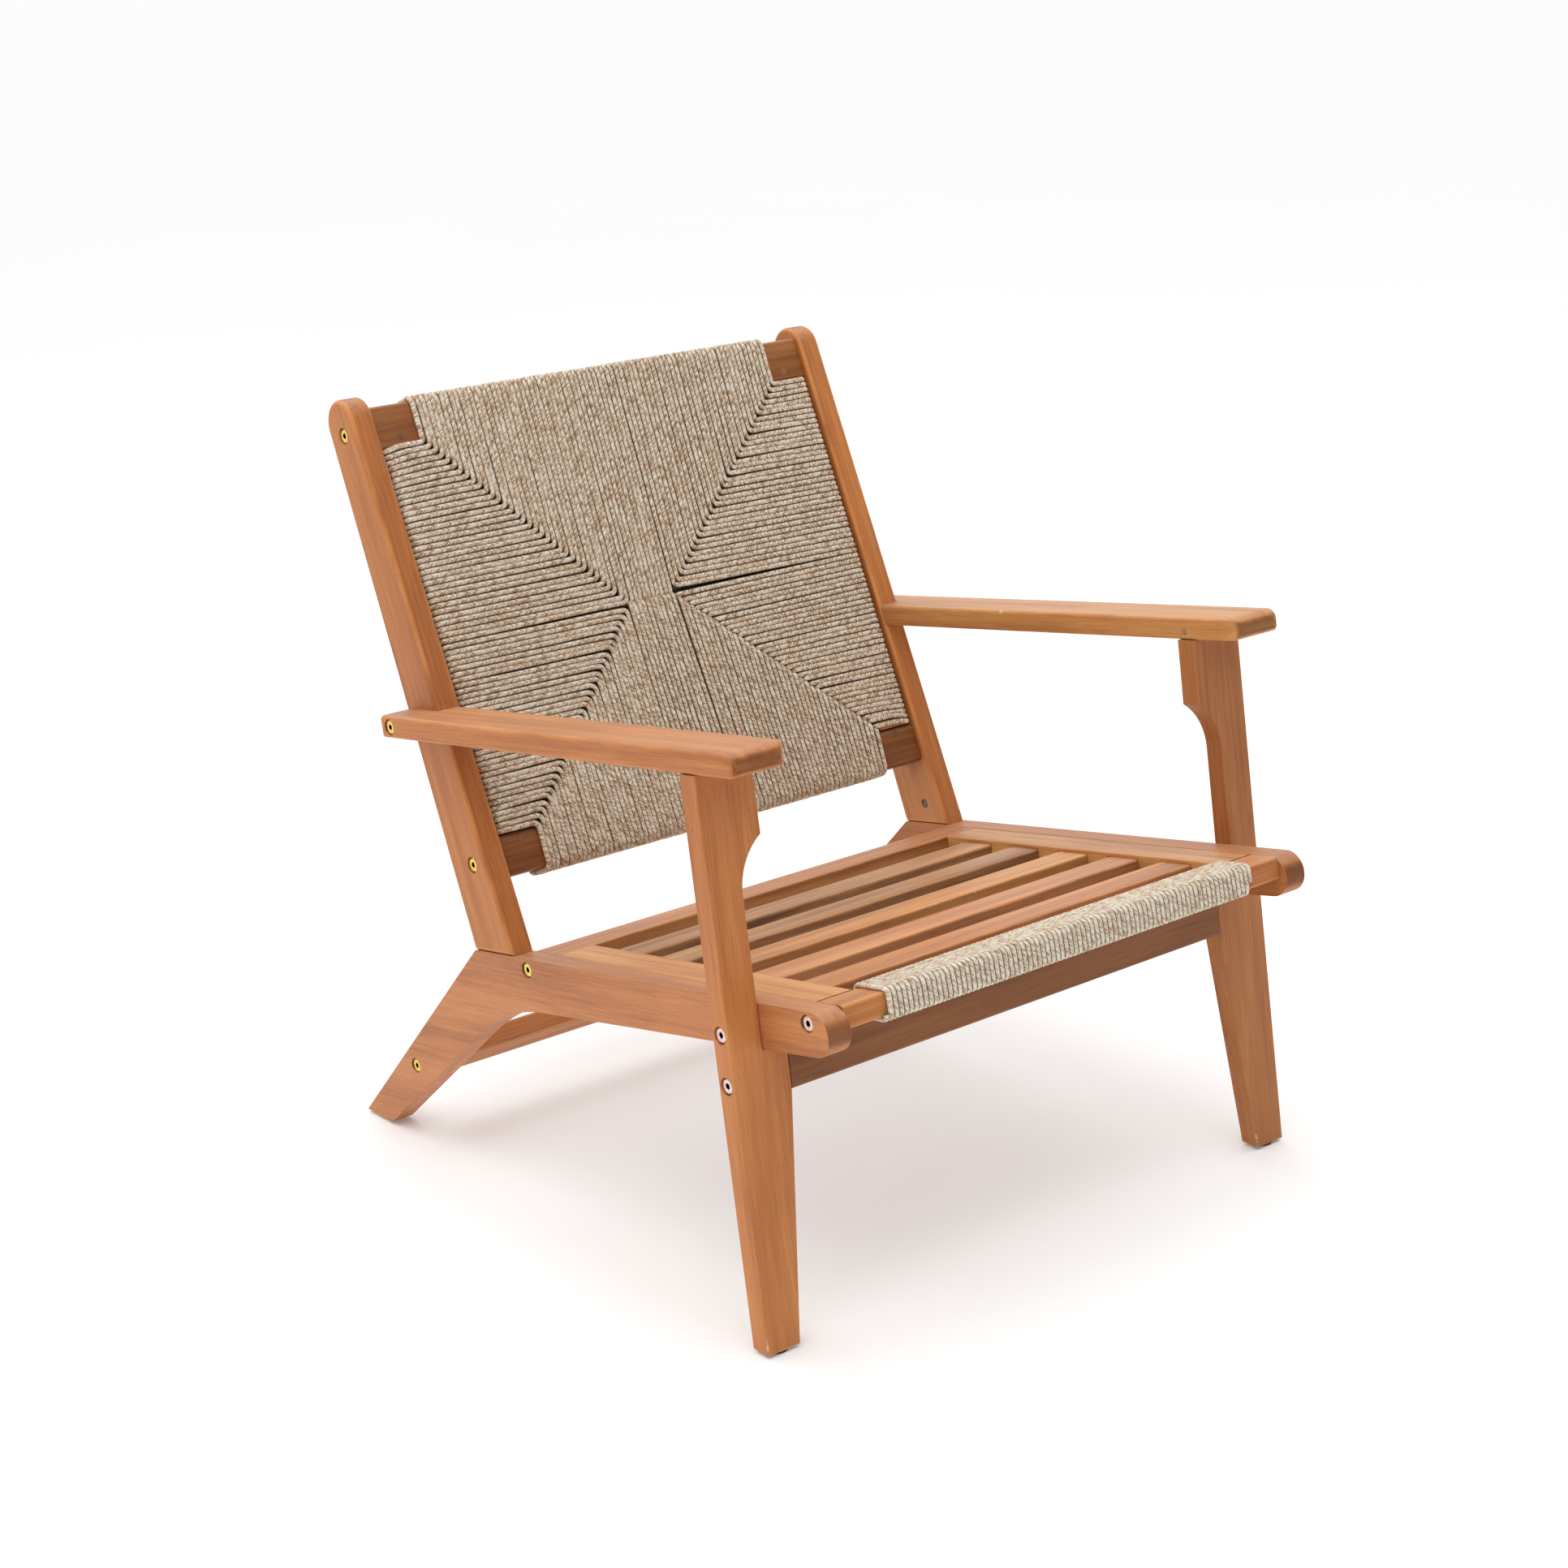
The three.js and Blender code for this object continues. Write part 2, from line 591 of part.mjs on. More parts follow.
// The rope skin: front and rear layers, closed over the rails and the stiles, open at the
// four corners where the rails come out.
function addWeave() {
  const edge = 6; // rounding where the rope turns over the wood
  const rails = [LOW_RAIL_Z[0] - GAP - ROPE, TOP_RAIL_Z[1] + GAP + ROPE];
  const stiles = [LOW_RAIL_Z[1] + 2 * GAP, TOP_RAIL_Z[0] - 2 * GAP];
  const outX = STILE_X + STILE_W / 2 + GAP + ROPE;
  const corners = [
    [BACK_WRAP_X, rails[0]], [BACK_WRAP_X, stiles[0]], [outX, stiles[0]],
    [outX, stiles[1]], [BACK_WRAP_X, stiles[1]], [BACK_WRAP_X, rails[1]],
  ];
  const outline = [...corners, ...corners.map(([x, z]) => [-x, z]).reverse()];
  const shape = new THREE.Shape(outline.map(([x, z]) => new THREE.Vector2(x, z)));
  const y0 = BACK_RAIL_Y - GAP - ROPE;
  const y1 = BACK_RAIL_Y + BACK_RAIL_T + GAP + ROPE;
  const geometry = new THREE.ExtrudeGeometry(shape, {
    depth: y1 - y0 - 2 * edge,
    bevelSize: edge,
    bevelThickness: edge,
    bevelOffset: -edge,
    bevelSegments: 3,
  });
  const skin = solid(geometry.rotateX(Math.PI / 2).translate(0, y1 - edge, 0));
  const hollow = block(
    [-outX + ROPE, outX - ROPE],
    [y0 + ROPE, y1 - ROPE],
    [rails[0] + ROPE, rails[1] - ROPE],
  );
  place(back, "back_weave", skin.subtract(hollow), rope);
}

function addCrossBolts() {
  const nutBody = rod("x", NUT_R, PANEL_IN + 1, PANEL_IN + 18, ...NUT_AT);
  const thread = rod("z", BOLT_R + 0.3, 0, 60, NUT_X, NUT_AT[0], 12);
  placePair(back, "barrel_nut", nutBody.subtract(thread), brass);
  const { top, seatZ, headT } = CROSS_BOLT;
  const shank = rod("z", BOLT_R, seatZ - 1, top, NUT_X, NUT_AT[0], 16);
  const head = rod("z", HEAD_R, seatZ - headT, seatZ, NUT_X, NUT_AT[0]);
  const socket = rod("z", 2.6, seatZ - headT - 1, seatZ - 1, NUT_X, NUT_AT[0], 6);
  placePair(back, "cross_bolt", shank.add(head).subtract(socket), steel);
}

// ---- rear stretcher and glides ----

function addStretcher() {
  const x = PANEL_IN - GAP;
  const board = block([-x, x], [-11, 11], [-17.5, 17.5]);
  place(brace, "rear_stretcher", cut(board, ...bothSides("bolt_stretcher")), wood);
}

const GLIDE_R = 9;
const FRONT_GLIDE_X = 312;
const REAR_GLIDE_Y = 403;
const FRONT_GLIDE_Y = LEG.y + LEG_T / 2;

function glide(x, y) {
  const pad = rod("z", GLIDE_R, 0, FOOT_Z - GAP, x, y, 24);
  const nail = rod("z", 1.2, FOOT_Z - 1, FOOT_Z + 10, x, y, 8);
  return pad.add(nail);
}

function addGlides() {
  placePair(sides, "glide_front", glide(FRONT_GLIDE_X, FRONT_GLIDE_Y), rubber);
  placePair(sides, "glide_rear", glide((PANEL_IN + PANEL_OUT) / 2, REAR_GLIDE_Y), rubber);
}

addPanels();
addSeatRails();
addStrips();
addSlats();
addFrontWrap();
addLegs();
addApron();
addArms();
addPosts();
addBackRails();
addStiles();
addWeave();
addCrossBolts();
addStretcher();
addGlides();
addBolts();

// The origin is on the floor, under the middle of the chair.
chair.updateMatrixWorld(true);
const box = new THREE.Box3().setFromObject(chair, true);
chair.position.y = -(box.min.y + box.max.y) / 2;

export default chair;
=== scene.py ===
import math
import random

import bmesh
import bpy
import numpy as np
from mathutils import Matrix, Vector


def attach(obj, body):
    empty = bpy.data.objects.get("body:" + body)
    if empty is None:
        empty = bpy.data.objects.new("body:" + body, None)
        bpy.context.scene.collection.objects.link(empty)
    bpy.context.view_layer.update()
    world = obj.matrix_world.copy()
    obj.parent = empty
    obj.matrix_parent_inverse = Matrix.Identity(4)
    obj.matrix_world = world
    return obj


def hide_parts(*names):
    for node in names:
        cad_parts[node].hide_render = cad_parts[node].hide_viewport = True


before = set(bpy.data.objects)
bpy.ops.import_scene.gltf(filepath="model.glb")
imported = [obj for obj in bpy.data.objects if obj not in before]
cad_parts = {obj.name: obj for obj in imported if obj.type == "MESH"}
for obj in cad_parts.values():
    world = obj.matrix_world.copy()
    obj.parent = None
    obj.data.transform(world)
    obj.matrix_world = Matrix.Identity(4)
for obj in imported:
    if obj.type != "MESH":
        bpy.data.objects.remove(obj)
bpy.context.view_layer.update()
scene = bpy.context.scene

MM = 0.001
SHIFT = -22.98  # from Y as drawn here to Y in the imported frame

# ---- camera ----

FOCAL = 65.53
YAW = math.radians(-37.45)
PITCH = math.radians(16.53)
ROLL = math.radians(-3.34)
EYE = Vector((-1663.9, -2131.5 + SHIFT, 1191.6)) * MM
CLIP_END = 1000  # metres, past the rim of the floor


def add_camera():
    """A camera from its focal length, three angles and its eye."""
    ahead = math.cos(PITCH)
    back = Vector((math.sin(YAW) * ahead, -math.cos(YAW) * ahead, math.sin(PITCH)))
    level = Vector((math.cos(YAW), math.sin(YAW), 0.0))
    up = back.cross(level)
    right = math.cos(ROLL) * level + math.sin(ROLL) * up
    top = -math.sin(ROLL) * level + math.cos(ROLL) * up
    data = bpy.data.cameras.new("photo_camera")
    data.lens = FOCAL
    data.sensor_width = 36
    data.clip_end = CLIP_END
    camera = bpy.data.objects.new("photo_camera", data)
    turn = Matrix((right, top, back)).transposed().to_4x4()
    camera.matrix_world = Matrix.Translation(EYE) @ turn
    scene.collection.objects.link(camera)
    scene.camera = camera


# ---- frames of the inclined assemblies, as in the CAD ----


class Frame:
    """A frame turned about X: local y runs rearward, local z up."""

    def __init__(self, y, z, tilt):
        self.y = y
        self.z = z
        self.tilt = math.radians(tilt)
        self.c = math.cos(self.tilt)
        self.s = math.sin(self.tilt)

    def flat(self, y, z):
        """A local (y, z) as it lies in the upright frame."""
        return self.y + y * self.c + z * self.s, self.z - y * self.s + z * self.c

    def local(self, y, z):
        """The inverse of flat."""
        dy = y - self.y
        dz = z - self.z
        return dy * self.c - dz * self.s, dy * self.s + dz * self.c

    def point(self, x, y, z):
        """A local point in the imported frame, in metres."""
        wy, wz = self.flat(y, z)
        return Vector((x, wy + SHIFT, wz)) * MM


WORLD = Frame(0, 0, 0)
SEAT = Frame(100, 259.4, 8.25)
BACK = Frame(105.6, 258.8, 22.7)
LEG = Frame(-320, 2.8, 5.89)
ARM = Frame(-320, 529.5, 6.86)
BRACE = Frame(314.8, 85.6, -46)

# ---- driving dimensions: x from the middle, the rest in the frame of the assembly ----

GAP = 0.3  # between pieces that meet
BOARD = 22  # thickness of the legs, the arms and the seat's rails
FOOT_Z = 3  # the planks stand on glides of this height
HALF_WIDTH = 330
PANEL_OUT = 294
PANEL_IN = 268.5
RAIL_X = PANEL_IN - GAP

BACK_DEPTH = (7, 41)  # y of the rails and stiles of the back
TOP_RAIL = (514, 558)  # z
LOW_RAIL = (76, 118)
STILE_X = (223.5, 260.5)
PLUG_X = 242
PLUG_R = 3.8

SEAT_DEPTH = (-BOARD, 0)  # z of the rails and strips of the seat
REAR_RAIL = (-40, 3)  # y
FRONT_RAIL = (-477, -441)
STRIP_IN = 228.6
SLAT_WIDTH = 42
SLAT_DEPTH = (-16, -4)
SLAT_PITCH = 72.5
SLAT_FRONTS = [-110 - SLAT_PITCH * i for i in range(5)]
SLAT_X = 238

APRON = (229, 265)  # z
SIDES = (("right", 1), ("left", -1))

# ---- node helpers ----


def srgb(r, g, b):
    """A screen colour of 0 to 255 as linear values."""

    def one(v):
        v /= 255
        return v / 12.92 if v <= 0.04045 else ((v + 0.055) / 1.055) ** 2.4

    return (one(r), one(g), one(b), 1)


class Nodes:
    """Adds nodes to a material or a world and joins them."""

    def __init__(self, owner, output="ShaderNodeOutputMaterial"):
        self.owner = owner
        owner.use_nodes = True
        self.tree = owner.node_tree
        self.tree.nodes.clear()
        self.out = self.tree.nodes.new(output)

    def add(self, kind, inputs=None, **settings):
        node = self.tree.nodes.new(kind)
        for key, value in settings.items():
            setattr(node, key, value)
        for key, value in (inputs or {}).items():
            self.put(node.inputs[key], value)
        return node

    def put(self, socket, value):
        if isinstance(value, bpy.types.NodeSocket):
            self.tree.links.new(value, socket)
        else:
            socket.default_value = value

    def math(self, operation, a, b=0.0, c=0.0, clamp=False):
        node = self.add("ShaderNodeMath", operation=operation, use_clamp=clamp)
        for socket, value in zip(node.inputs, (a, b, c)):
            self.put(socket, value)
        return node.outputs[0]

    def noise(self, vector, scale, detail=3.0, rough=0.5, distortion=0.0):
        values = {"Vector": vector, "Scale": scale, "Detail": detail}
        values.update({"Roughness": rough, "Distortion": distortion})
        return self.add("ShaderNodeTexNoise", values).outputs["Fac"]

    def ramp(self, fac, stops):
        node = self.add("ShaderNodeValToRGB", {"Fac": fac})
        elements = node.color_ramp.elements
        while len(elements) < len(stops):
            elements.new(0.5)
        for element, (position, color) in zip(elements, stops):
            element.position = position
            element.color = color
        return node.outputs["Color"]

    def step(self, value, low, high):
        """0 below low, 1 above high, smooth between."""
        ends = {"Value": value, "From Min": low, "From Max": high}
        node = self.add("ShaderNodeMapRange", ends, interpolation_type="SMOOTHSTEP")
        return node.outputs["Result"]

    def mix(self, fac, a, b, mode="MIX"):
        node = self.add("ShaderNodeMix", data_type="RGBA", blend_type=mode)
        self.put(node.inputs[0], fac)
        self.put(node.inputs[6], a)
        self.put(node.inputs[7], b)
        return node.outputs[2]

    def finish(self, color, roughness, metallic=0.0, height=None, relief=0.0003, **more):
        """The material. height bumps it by relief metres, more sets other inputs."""
        shader = self.add("ShaderNodeBsdfPrincipled", {"Base Color": color})
        self.put(shader.inputs["Roughness"], roughness)
        shader.inputs["Metallic"].default_value = metallic
        for key, value in more.items():
            shader.inputs[key.replace("_", " ")].default_value = value
        if height is not None:
            bump = self.add("ShaderNodeBump", {"Height": height, "Distance": relief})
            bump.inputs["Strength"].default_value = 1.0
            self.tree.links.new(bump.outputs["Normal"], shader.inputs["Normal"])
        self.tree.links.new(shader.outputs[0], self.out.inputs["Surface"])
        return self.owner


# ---- wood ----

TONES = {
    "orange": (srgb(196, 131, 84), srgb(170, 104, 62), srgb(128, 72, 40)),
    "pale": (srgb(208, 152, 103), srgb(184, 122, 77), srgb(140, 86, 50)),
    "pink": (srgb(200, 138, 100), srgb(176, 112, 76), srgb(132, 78, 50)),
    "grey": (srgb(186, 135, 99), srgb(150, 101, 70), srgb(104, 66, 44)),
}
ALONG = {"x": 0, "y": 1, "z": 2}
WOOD_GAIN = (1.17, 1.17, 0.9)  # warms and lifts every tone
# The pale colour of the painted sheen on faces that look up.
PAINTED_TOP_SHEEN = srgb(243, 225, 203)
SPECK = srgb(84, 48, 30)
CHIPPED = srgb(228, 205, 176)
SPREAD = 5  # metres within which each piece starts somewhere else in the noise
FOOT_BAND = (0.008, 0.03)  # heights in metres between which the knocks fade


def centred(n, value, weight, base):
    """base plus weight times what value differs from a half."""
    return n.math("MULTIPLY_ADD", n.math("SUBTRACT", value, 0.5), weight, base)


def grain(n, stretched, base, fibres, contrast):
    """The figure of the wood, from 0 where it is dark to 1 where it is light."""
    bands = n.noise(stretched(34, 1.7), 1.0, 4.0, 0.55, 0.9)
    streaks = n.noise(stretched(150, 5), 1.0, 5.0, 0.6, 0.3)
    drift = n.noise(base, 5.0, 2.0)
    figure = n.math("MULTIPLY", n.math("SUBTRACT", bands, 0.5), 1.6 * contrast)
    figure = centred(n, streaks, 1.2 * contrast, figure)
    figure = centred(n, fibres, 0.8, figure)
    figure = centred(n, drift, 0.5, figure)
    return n.math("ADD", figure, 0.5, clamp=True)


def normal_along(n, lean, index):
    """One component of the surface normal in an inclined frame."""
    turned = n.add("ShaderNodeMapping", {"Rotation": (lean.tilt, 0, 0)})
    turned.vector_type = "VECTOR"
    n.put(turned.inputs["Vector"], n.add("ShaderNodeTexCoord").outputs["Normal"])
    return n.add("ShaderNodeSeparateXYZ", {"Vector": turned.outputs[0]}).outputs[index]


def worn_and_highlit(n, color, where, base, rub_and_highlight, bare_and_highlight):
    """Edges lighter, partly rubbed and partly a painted highlight where they catch the light,
    with a few chips down to raw wood, more of them at the feet.
    """
    wear_and_highlight = n.add("ShaderNodeAttribute", attribute_name="wear_and_highlight").outputs["Fac"]
    patches = n.step(n.noise(base, 22.0, 3.0), 0.3, 0.75 - 0.3 * rub_and_highlight)
    color = n.mix(n.math("MULTIPLY", n.math("MULTIPLY", wear_and_highlight, patches), rub_and_highlight), color, bare_and_highlight)
    chips = n.math("MULTIPLY", wear_and_highlight, n.step(n.noise(base, 95.0, 2.0), 0.74, 0.78))
    altitude = n.add("ShaderNodeSeparateXYZ", {"Vector": where}).outputs[2]
    foot = n.math("SUBTRACT", 1.0, n.step(altitude, *FOOT_BAND))
    knocks = n.math("MULTIPLY", wear_and_highlight, n.step(n.noise(base, 130.0, 2.0), 0.5, 0.56))
    chips = n.math("MULTIPLY_ADD", foot, knocks, chips, clamp=True)
    return n.mix(n.math("MULTIPLY", chips, 0.7), color, CHIPPED)


def wood(name, lean, axis, tone, seed, contrast=1.0, shade_gain=1.0, rub_and_highlight=0.25, flank_shade=1.0):
    """Oiled hardwood whose grain runs along one axis of an inclined frame.

    contrast is of the figure, gain scales the colour and where it is low paints in the shade the
    piece lies in, rub lightens the edges as rubbed wood and painted highlight, and flank
    paints shade on what doesn't face up."""
    n = Nodes(bpy.data.materials.new(name))
    where = n.add("ShaderNodeTexCoord").outputs["Object"]
    turned = n.add("ShaderNodeMapping", {"Vector": where, "Rotation": (lean.tilt, 0, 0)})
    shifted = n.add("ShaderNodeMapping", {"Vector": turned.outputs[0]})
    rng = random.Random(seed)
    start = [rng.uniform(-SPREAD, SPREAD) for _ in range(3)]
    shifted.inputs["Location"].default_value = start
    base = shifted.outputs[0]

    def stretched(across, along):
        scale = [across] * 3
        scale[ALONG[axis]] = along
        return n.add("ShaderNodeMapping", {"Vector": base, "Scale": scale}).outputs[0]

    def toned(color):
        return [v * g * shade_gain for v, g in zip(color, WOOD_GAIN)] + [1]

    light, middle, dark = (toned(color) for color in TONES[tone])
    fibres = n.noise(stretched(900, 22), 1.0, 3.0, 0.6)
    figure = grain(n, stretched, base, fibres, contrast)
    color = n.ramp(figure, [(0.0, dark), (0.45, middle), (1.0, light)])
    # Pores are short dark dashes along the grain, specks are small dark spots.
    pores = n.step(n.noise(stretched(1300, 75), 1.0, 1.0), 0.66, 0.76)
    color = n.mix(n.math("MULTIPLY", pores, 0.45), color, dark)
    specks = n.step(n.noise(base, 260.0, 1.0), 0.77, 0.81)
    color = n.mix(n.math("MULTIPLY", specks, 0.5), color, SPECK)
    # End grain drinks the oil and is darker.
    end = n.step(n.math("ABSOLUTE", normal_along(n, lean, ALONG[axis])), 0.75, 0.98)
    oiled = [v * 0.62 for v in dark[:3]] + [1]
    color = n.mix(n.math("MULTIPLY", end, 0.8), color, oiled)
    # Painted sheen lightens what faces up, and painted shade, as in narrow gaps, dims what
    # doesn't.
    up = n.step(normal_along(n, WORLD, ALONG["z"]), 0.55, 0.95)
    color = n.mix(n.math("MULTIPLY", up, 0.1), color, PAINTED_TOP_SHEEN)
    if flank_shade < 1:
        shade = (flank_shade, flank_shade * 0.97, flank_shade * 0.92, 1)
        color = n.mix(up, n.mix(1.0, color, shade, "MULTIPLY"), color)
    # The lightened edges' colour: rubbed wood and a painted highlight.
    bare_and_highlight = [min(v * 1.25, 0.9) for v in light[:3]] + [1]
    color = worn_and_highlit(n, color, where, base, rub_and_highlight, bare_and_highlight)
    rough = n.math("MULTIPLY_ADD", fibres, 0.2, 0.36)
    rough = n.math("MULTIPLY_ADD", end, 0.15, rough)
    height = n.math("MULTIPLY_ADD", pores, -0.6, n.math("MULTIPLY", fibres, 0.7))
    return n.finish(color, rough, height=height, relief=0.00012, Specular_IOR_Level=0.3)


# ---- rope ----

CREAM = srgb(251, 242, 224)
TAN = srgb(225, 199, 169)
BROWN = srgb(172, 132, 94)
DEEP = srgb(84, 60, 42)
# The colour of the painted shade between strands.
PAINTED_VALLEY_SHADE = srgb(46, 30, 20)
PICKS = 4.0  # yarn picks in one rope diameter
COLUMNS = 6.0  # columns of picks round the rope


def rope_material(name, cream):
    """Braided melange cord: V-shaped picks round the strand, each of its own shade."""
    n = Nodes(bpy.data.materials.new(name))
    uv = n.add("ShaderNodeUVMap", uv_map="strand").outputs[0]
    parts = n.add("ShaderNodeSeparateXYZ", {"Vector": uv})
    u = parts.outputs[0]  # in rope diameters along the strand
    v = parts.outputs[1]  # in turns round it, 0 where it faces outward
    around = n.math("MULTIPLY", v, COLUMNS)
    fold = n.math("PINGPONG", around, 1.0)
    slant = n.math("MULTIPLY_ADD", u, PICKS, n.math("MULTIPLY", fold, 1.7))
    cell = n.add("ShaderNodeCombineXYZ", {"X": n.math("FLOOR", slant)})
    n.put(cell.inputs["Y"], n.math("FLOOR", around))
    shade = n.add("ShaderNodeTexWhiteNoise", {"Vector": cell.outputs[0]}).outputs["Value"]
    yarn = n.add("ShaderNodeCombineXYZ", {"X": n.math("MULTIPLY", u, 0.6), "Y": v})
    slow = n.noise(yarn.outputs[0], 1.0, 2.0)
    fluff = n.add("ShaderNodeCombineXYZ", {"X": n.math("MULTIPLY", u, 9.0)})
    n.put(fluff.inputs["Y"], n.math("MULTIPLY", v, 26.0))
    fibre = n.noise(fluff.outputs[0], 1.0, 2.0, 0.7)
    tone = centred(n, shade, 0.85, 0.6 + cream)
    tone = centred(n, slow, 0.5, tone)
    tone = centred(n, fibre, 0.5, tone)
    tone = n.math("ADD", tone, 0.0, clamp=True)
    color = n.ramp(tone, [(0.0, DEEP), (0.18, BROWN), (0.55, TAN), (0.95, CREAM)])
    across = n.math("FRACT", slant)
    bulge = n.math("SINE", n.math("MULTIPLY", across, math.pi))
    # Painted shade in the grooves between the picks.
    groove_shade = n.math("SUBTRACT", 1.0, n.step(bulge, 0.0, 0.42))
    color = n.mix(n.math("MULTIPLY", groove_shade, 0.36), color, DEEP)
    # Painted shade: the rope is darkened where it lies against its neighbours.
    outward = n.math("PINGPONG", n.math("MULTIPLY", v, 2.0), 1.0)
    valley_shade = n.step(outward, 0.25, 0.41)
    color = n.mix(n.math("MULTIPLY", valley_shade, 0.85), color, PAINTED_VALLEY_SHADE)
    height = n.math("MULTIPLY_ADD", fibre, 0.25, bulge)
    soft = {"Specular_IOR_Level": 0.2, "Sheen_Weight": 0.15}
    return n.finish(color, 0.85, height=height, relief=0.0005, **soft)


# ---- metal and pads ----


def metal(name, bright, dull, seed):
    """Plated metal, cloudy between a bright and a dull shade."""
    n = Nodes(bpy.data.materials.new(name))
    where = n.add("ShaderNodeTexCoord").outputs["Object"]
    moved = n.add("ShaderNodeMapping", {"Vector": where})
    moved.inputs["Location"].default_value = (seed, seed * 0.7, 0)
    cloud = n.noise(moved.outputs[0], 420.0, 4.0, 0.65)
    fine = n.noise(moved.outputs[0], 3000.0, 2.0)
    color = n.mix(n.step(cloud, 0.35, 0.7), dull, bright)
    rough = n.math("MULTIPLY_ADD", cloud, 0.22, 0.34)
    return n.finish(color, rough, 1.0, height=fine, relief=0.00003)


def pad_material():
    """Dark dusty rubber."""
    n = Nodes(bpy.data.materials.new("pad_rubber"))
    where = n.add("ShaderNodeTexCoord").outputs["Object"]
    dust = n.noise(where, 300.0, 3.0)
    color = n.mix(dust, srgb(46, 30, 26), srgb(88, 58, 50))
    return n.finish(color, n.math("MULTIPLY_ADD", dust, 0.3, 0.55), height=dust, relief=0.0001)


# ---- meshes ----

BEVEL_STEPS = 4
CORNER_STEPS = 5
END_STEPS = 4


def to_object(bm, name, material, wear_and_highlight_faces=None):
    """The bmesh as an object. Its wear attribute, set on eased edges for rubbed edges, chips and
    painted highlight, is 1 where a vertex lies on wear_and_highlight_faces only.
    """
    if wear_and_highlight_faces is not None:
        layer = bm.verts.layers.float.new("wear_and_highlight")
        for vert in bm.verts:
            if all(face in wear_and_highlight_faces for face in vert.link_faces):
                vert[layer] = 1.0
    bmesh.ops.recalc_face_normals(bm, faces=bm.faces)
    mesh = bpy.data.meshes.new(name)
    bm.to_mesh(mesh)
    bm.free()
    obj = bpy.data.objects.new(name, mesh)
    scene.collection.objects.link(obj)
    mesh.materials.append(material)
    return obj


def smooth(obj, angle=32):
    """Smooth over eased edges, flat on broad faces, sharp past the angle in degrees."""
    mesh = obj.data
    mesh.polygons.foreach_set("use_smooth", [True] * len(mesh.polygons))
    mesh.set_sharp_from_angle(angle=math.radians(angle))
    weighted = obj.modifiers.new("normals", "WEIGHTED_NORMAL")
    weighted.keep_sharp = True
    weighted.weight = 80


def prism(name, place, ring_a, ring_b, material, corners=None, rims=(2.0, 2.0)):
    """Joins two outlines of (x, y, z) points.

    corners gives a radius to the edges between them, by outline index, and rims to each
    outline's own edges."""
    bm = bmesh.new()
    va = [bm.verts.new(place.point(*p)) for p in ring_a]
    vb = [bm.verts.new(place.point(*p)) for p in ring_b]
    count = len(va)
    caps = (bm.faces.new(va), bm.faces.new(vb[::-1]))
    for i in range(count):
        j = (i + 1) % count
        bm.faces.new((va[i], vb[i], vb[j], va[j]))
    bmesh.ops.recalc_face_normals(bm, faces=bm.faces)
    bm.normal_update()
    planes = [(cap.verts[0].co.copy(), cap.normal.copy()) for cap in caps]
    eased = set()
    by_radius = {}
    for index, radius in (corners or {}).items():
        by_radius.setdefault(radius, []).append(bm.edges.get((va[index], vb[index])))
    for radius, edges in by_radius.items():
        eased |= ease(bm, edges, radius)
    for (origin, normal), radius in zip(planes, rims):
        rim = [e for e in bm.edges if lies_on(e, origin, normal)]
        eased |= ease(bm, rim, radius)
    eased = {face for face in eased if face.is_valid}
    return to_object(bm, name, material, eased)


def lies_on(edge, origin, normal):
    return all(abs((v.co - origin).dot(normal)) < 1e-6 for v in edge.verts)


def ease(bm, edges, radius):
    """Rounds the edges, and gives the new faces."""
    made = bmesh.ops.bevel(
        bm,
        geom=edges,
        offset=radius * MM,
        offset_type="OFFSET",
        segments=BEVEL_STEPS,
        profile=0.5,
        affect="EDGES",
        clamp_overlap=True,
    )
    return set(made["faces"])


def ordered(axis, a, u, v):
    """(x, y, z) from the place along an axis and those on the other two."""
    return {"x": (a, u, v), "y": (u, a, v), "z": (u, v, a)}[axis]


def skin(bm, rings):
    """Joins each ring of vertices to the next with quads."""
    count = len(rings[0])
    for one, two in zip(rings, rings[1:]):
        for i in range(count):
            j = (i + 1) % count
            bm.faces.new((one[i], one[j], two[j], two[i]))


def loft(name, place, axis, stations, material):
    """Skins rounded rectangles along an axis of a frame.

    A station is (position, u0, u1, v0, v1, radii), with u and v the other two axes."""
    bm = bmesh.new()
    layer = bm.verts.layers.float.new("wear_and_highlight")
    rings = []
    for a, u0, u1, v0, v1, radii in stations:
        ring = []
        corners = ((u0, v0, 1, 1), (u1, v0, -1, 1), (u1, v1, -1, -1), (u0, v1, 1, -1))
        for (cu, cv, du, dv), start, r in zip(corners, (180, 270, 0, 90), radii):
            for i in range(CORNER_STEPS):
                angle = math.radians(start + 90 * i / (CORNER_STEPS - 1))
                u = cu + du * r + r * math.cos(angle)
                v = cv + dv * r + r * math.sin(angle)
                vert = bm.verts.new(place.point(*ordered(axis, a, u, v)))
                vert[layer] = 1.0 if 0 < i < CORNER_STEPS - 1 else 0.0
                ring.append(vert)
        rings.append(ring)
    skin(bm, rings)
    bm.faces.new(rings[0])
    bm.faces.new(rings[-1])
    return to_object(bm, name, material)


def bar(name, place, axis, a, u, v, material, radii=2.0, end=1.0):
    """A straight piece from a[0] to a[1] with eased long edges and eased ends."""
    if not isinstance(radii, tuple):
        radii = (radii,) * 4
    stations = []
    for position, inward in ((a[0], 1), (a[1], -1)):
        here = []
        for i in range(END_STEPS):
            angle = math.pi / 2 * i / (END_STEPS - 1)
            back = end * (1 - math.sin(angle))
            inset = end * (1 - math.cos(angle))
            sizes = (u[0] + back, u[1] - back, v[0] + back, v[1] - back)
            rounds = tuple(max(r - back, 0.3) for r in radii)
            here.append((position + inward * inset, *sizes, rounds))
        stations.append(here)
    return loft(name, place, axis, stations[0] + stations[1][::-1], material)


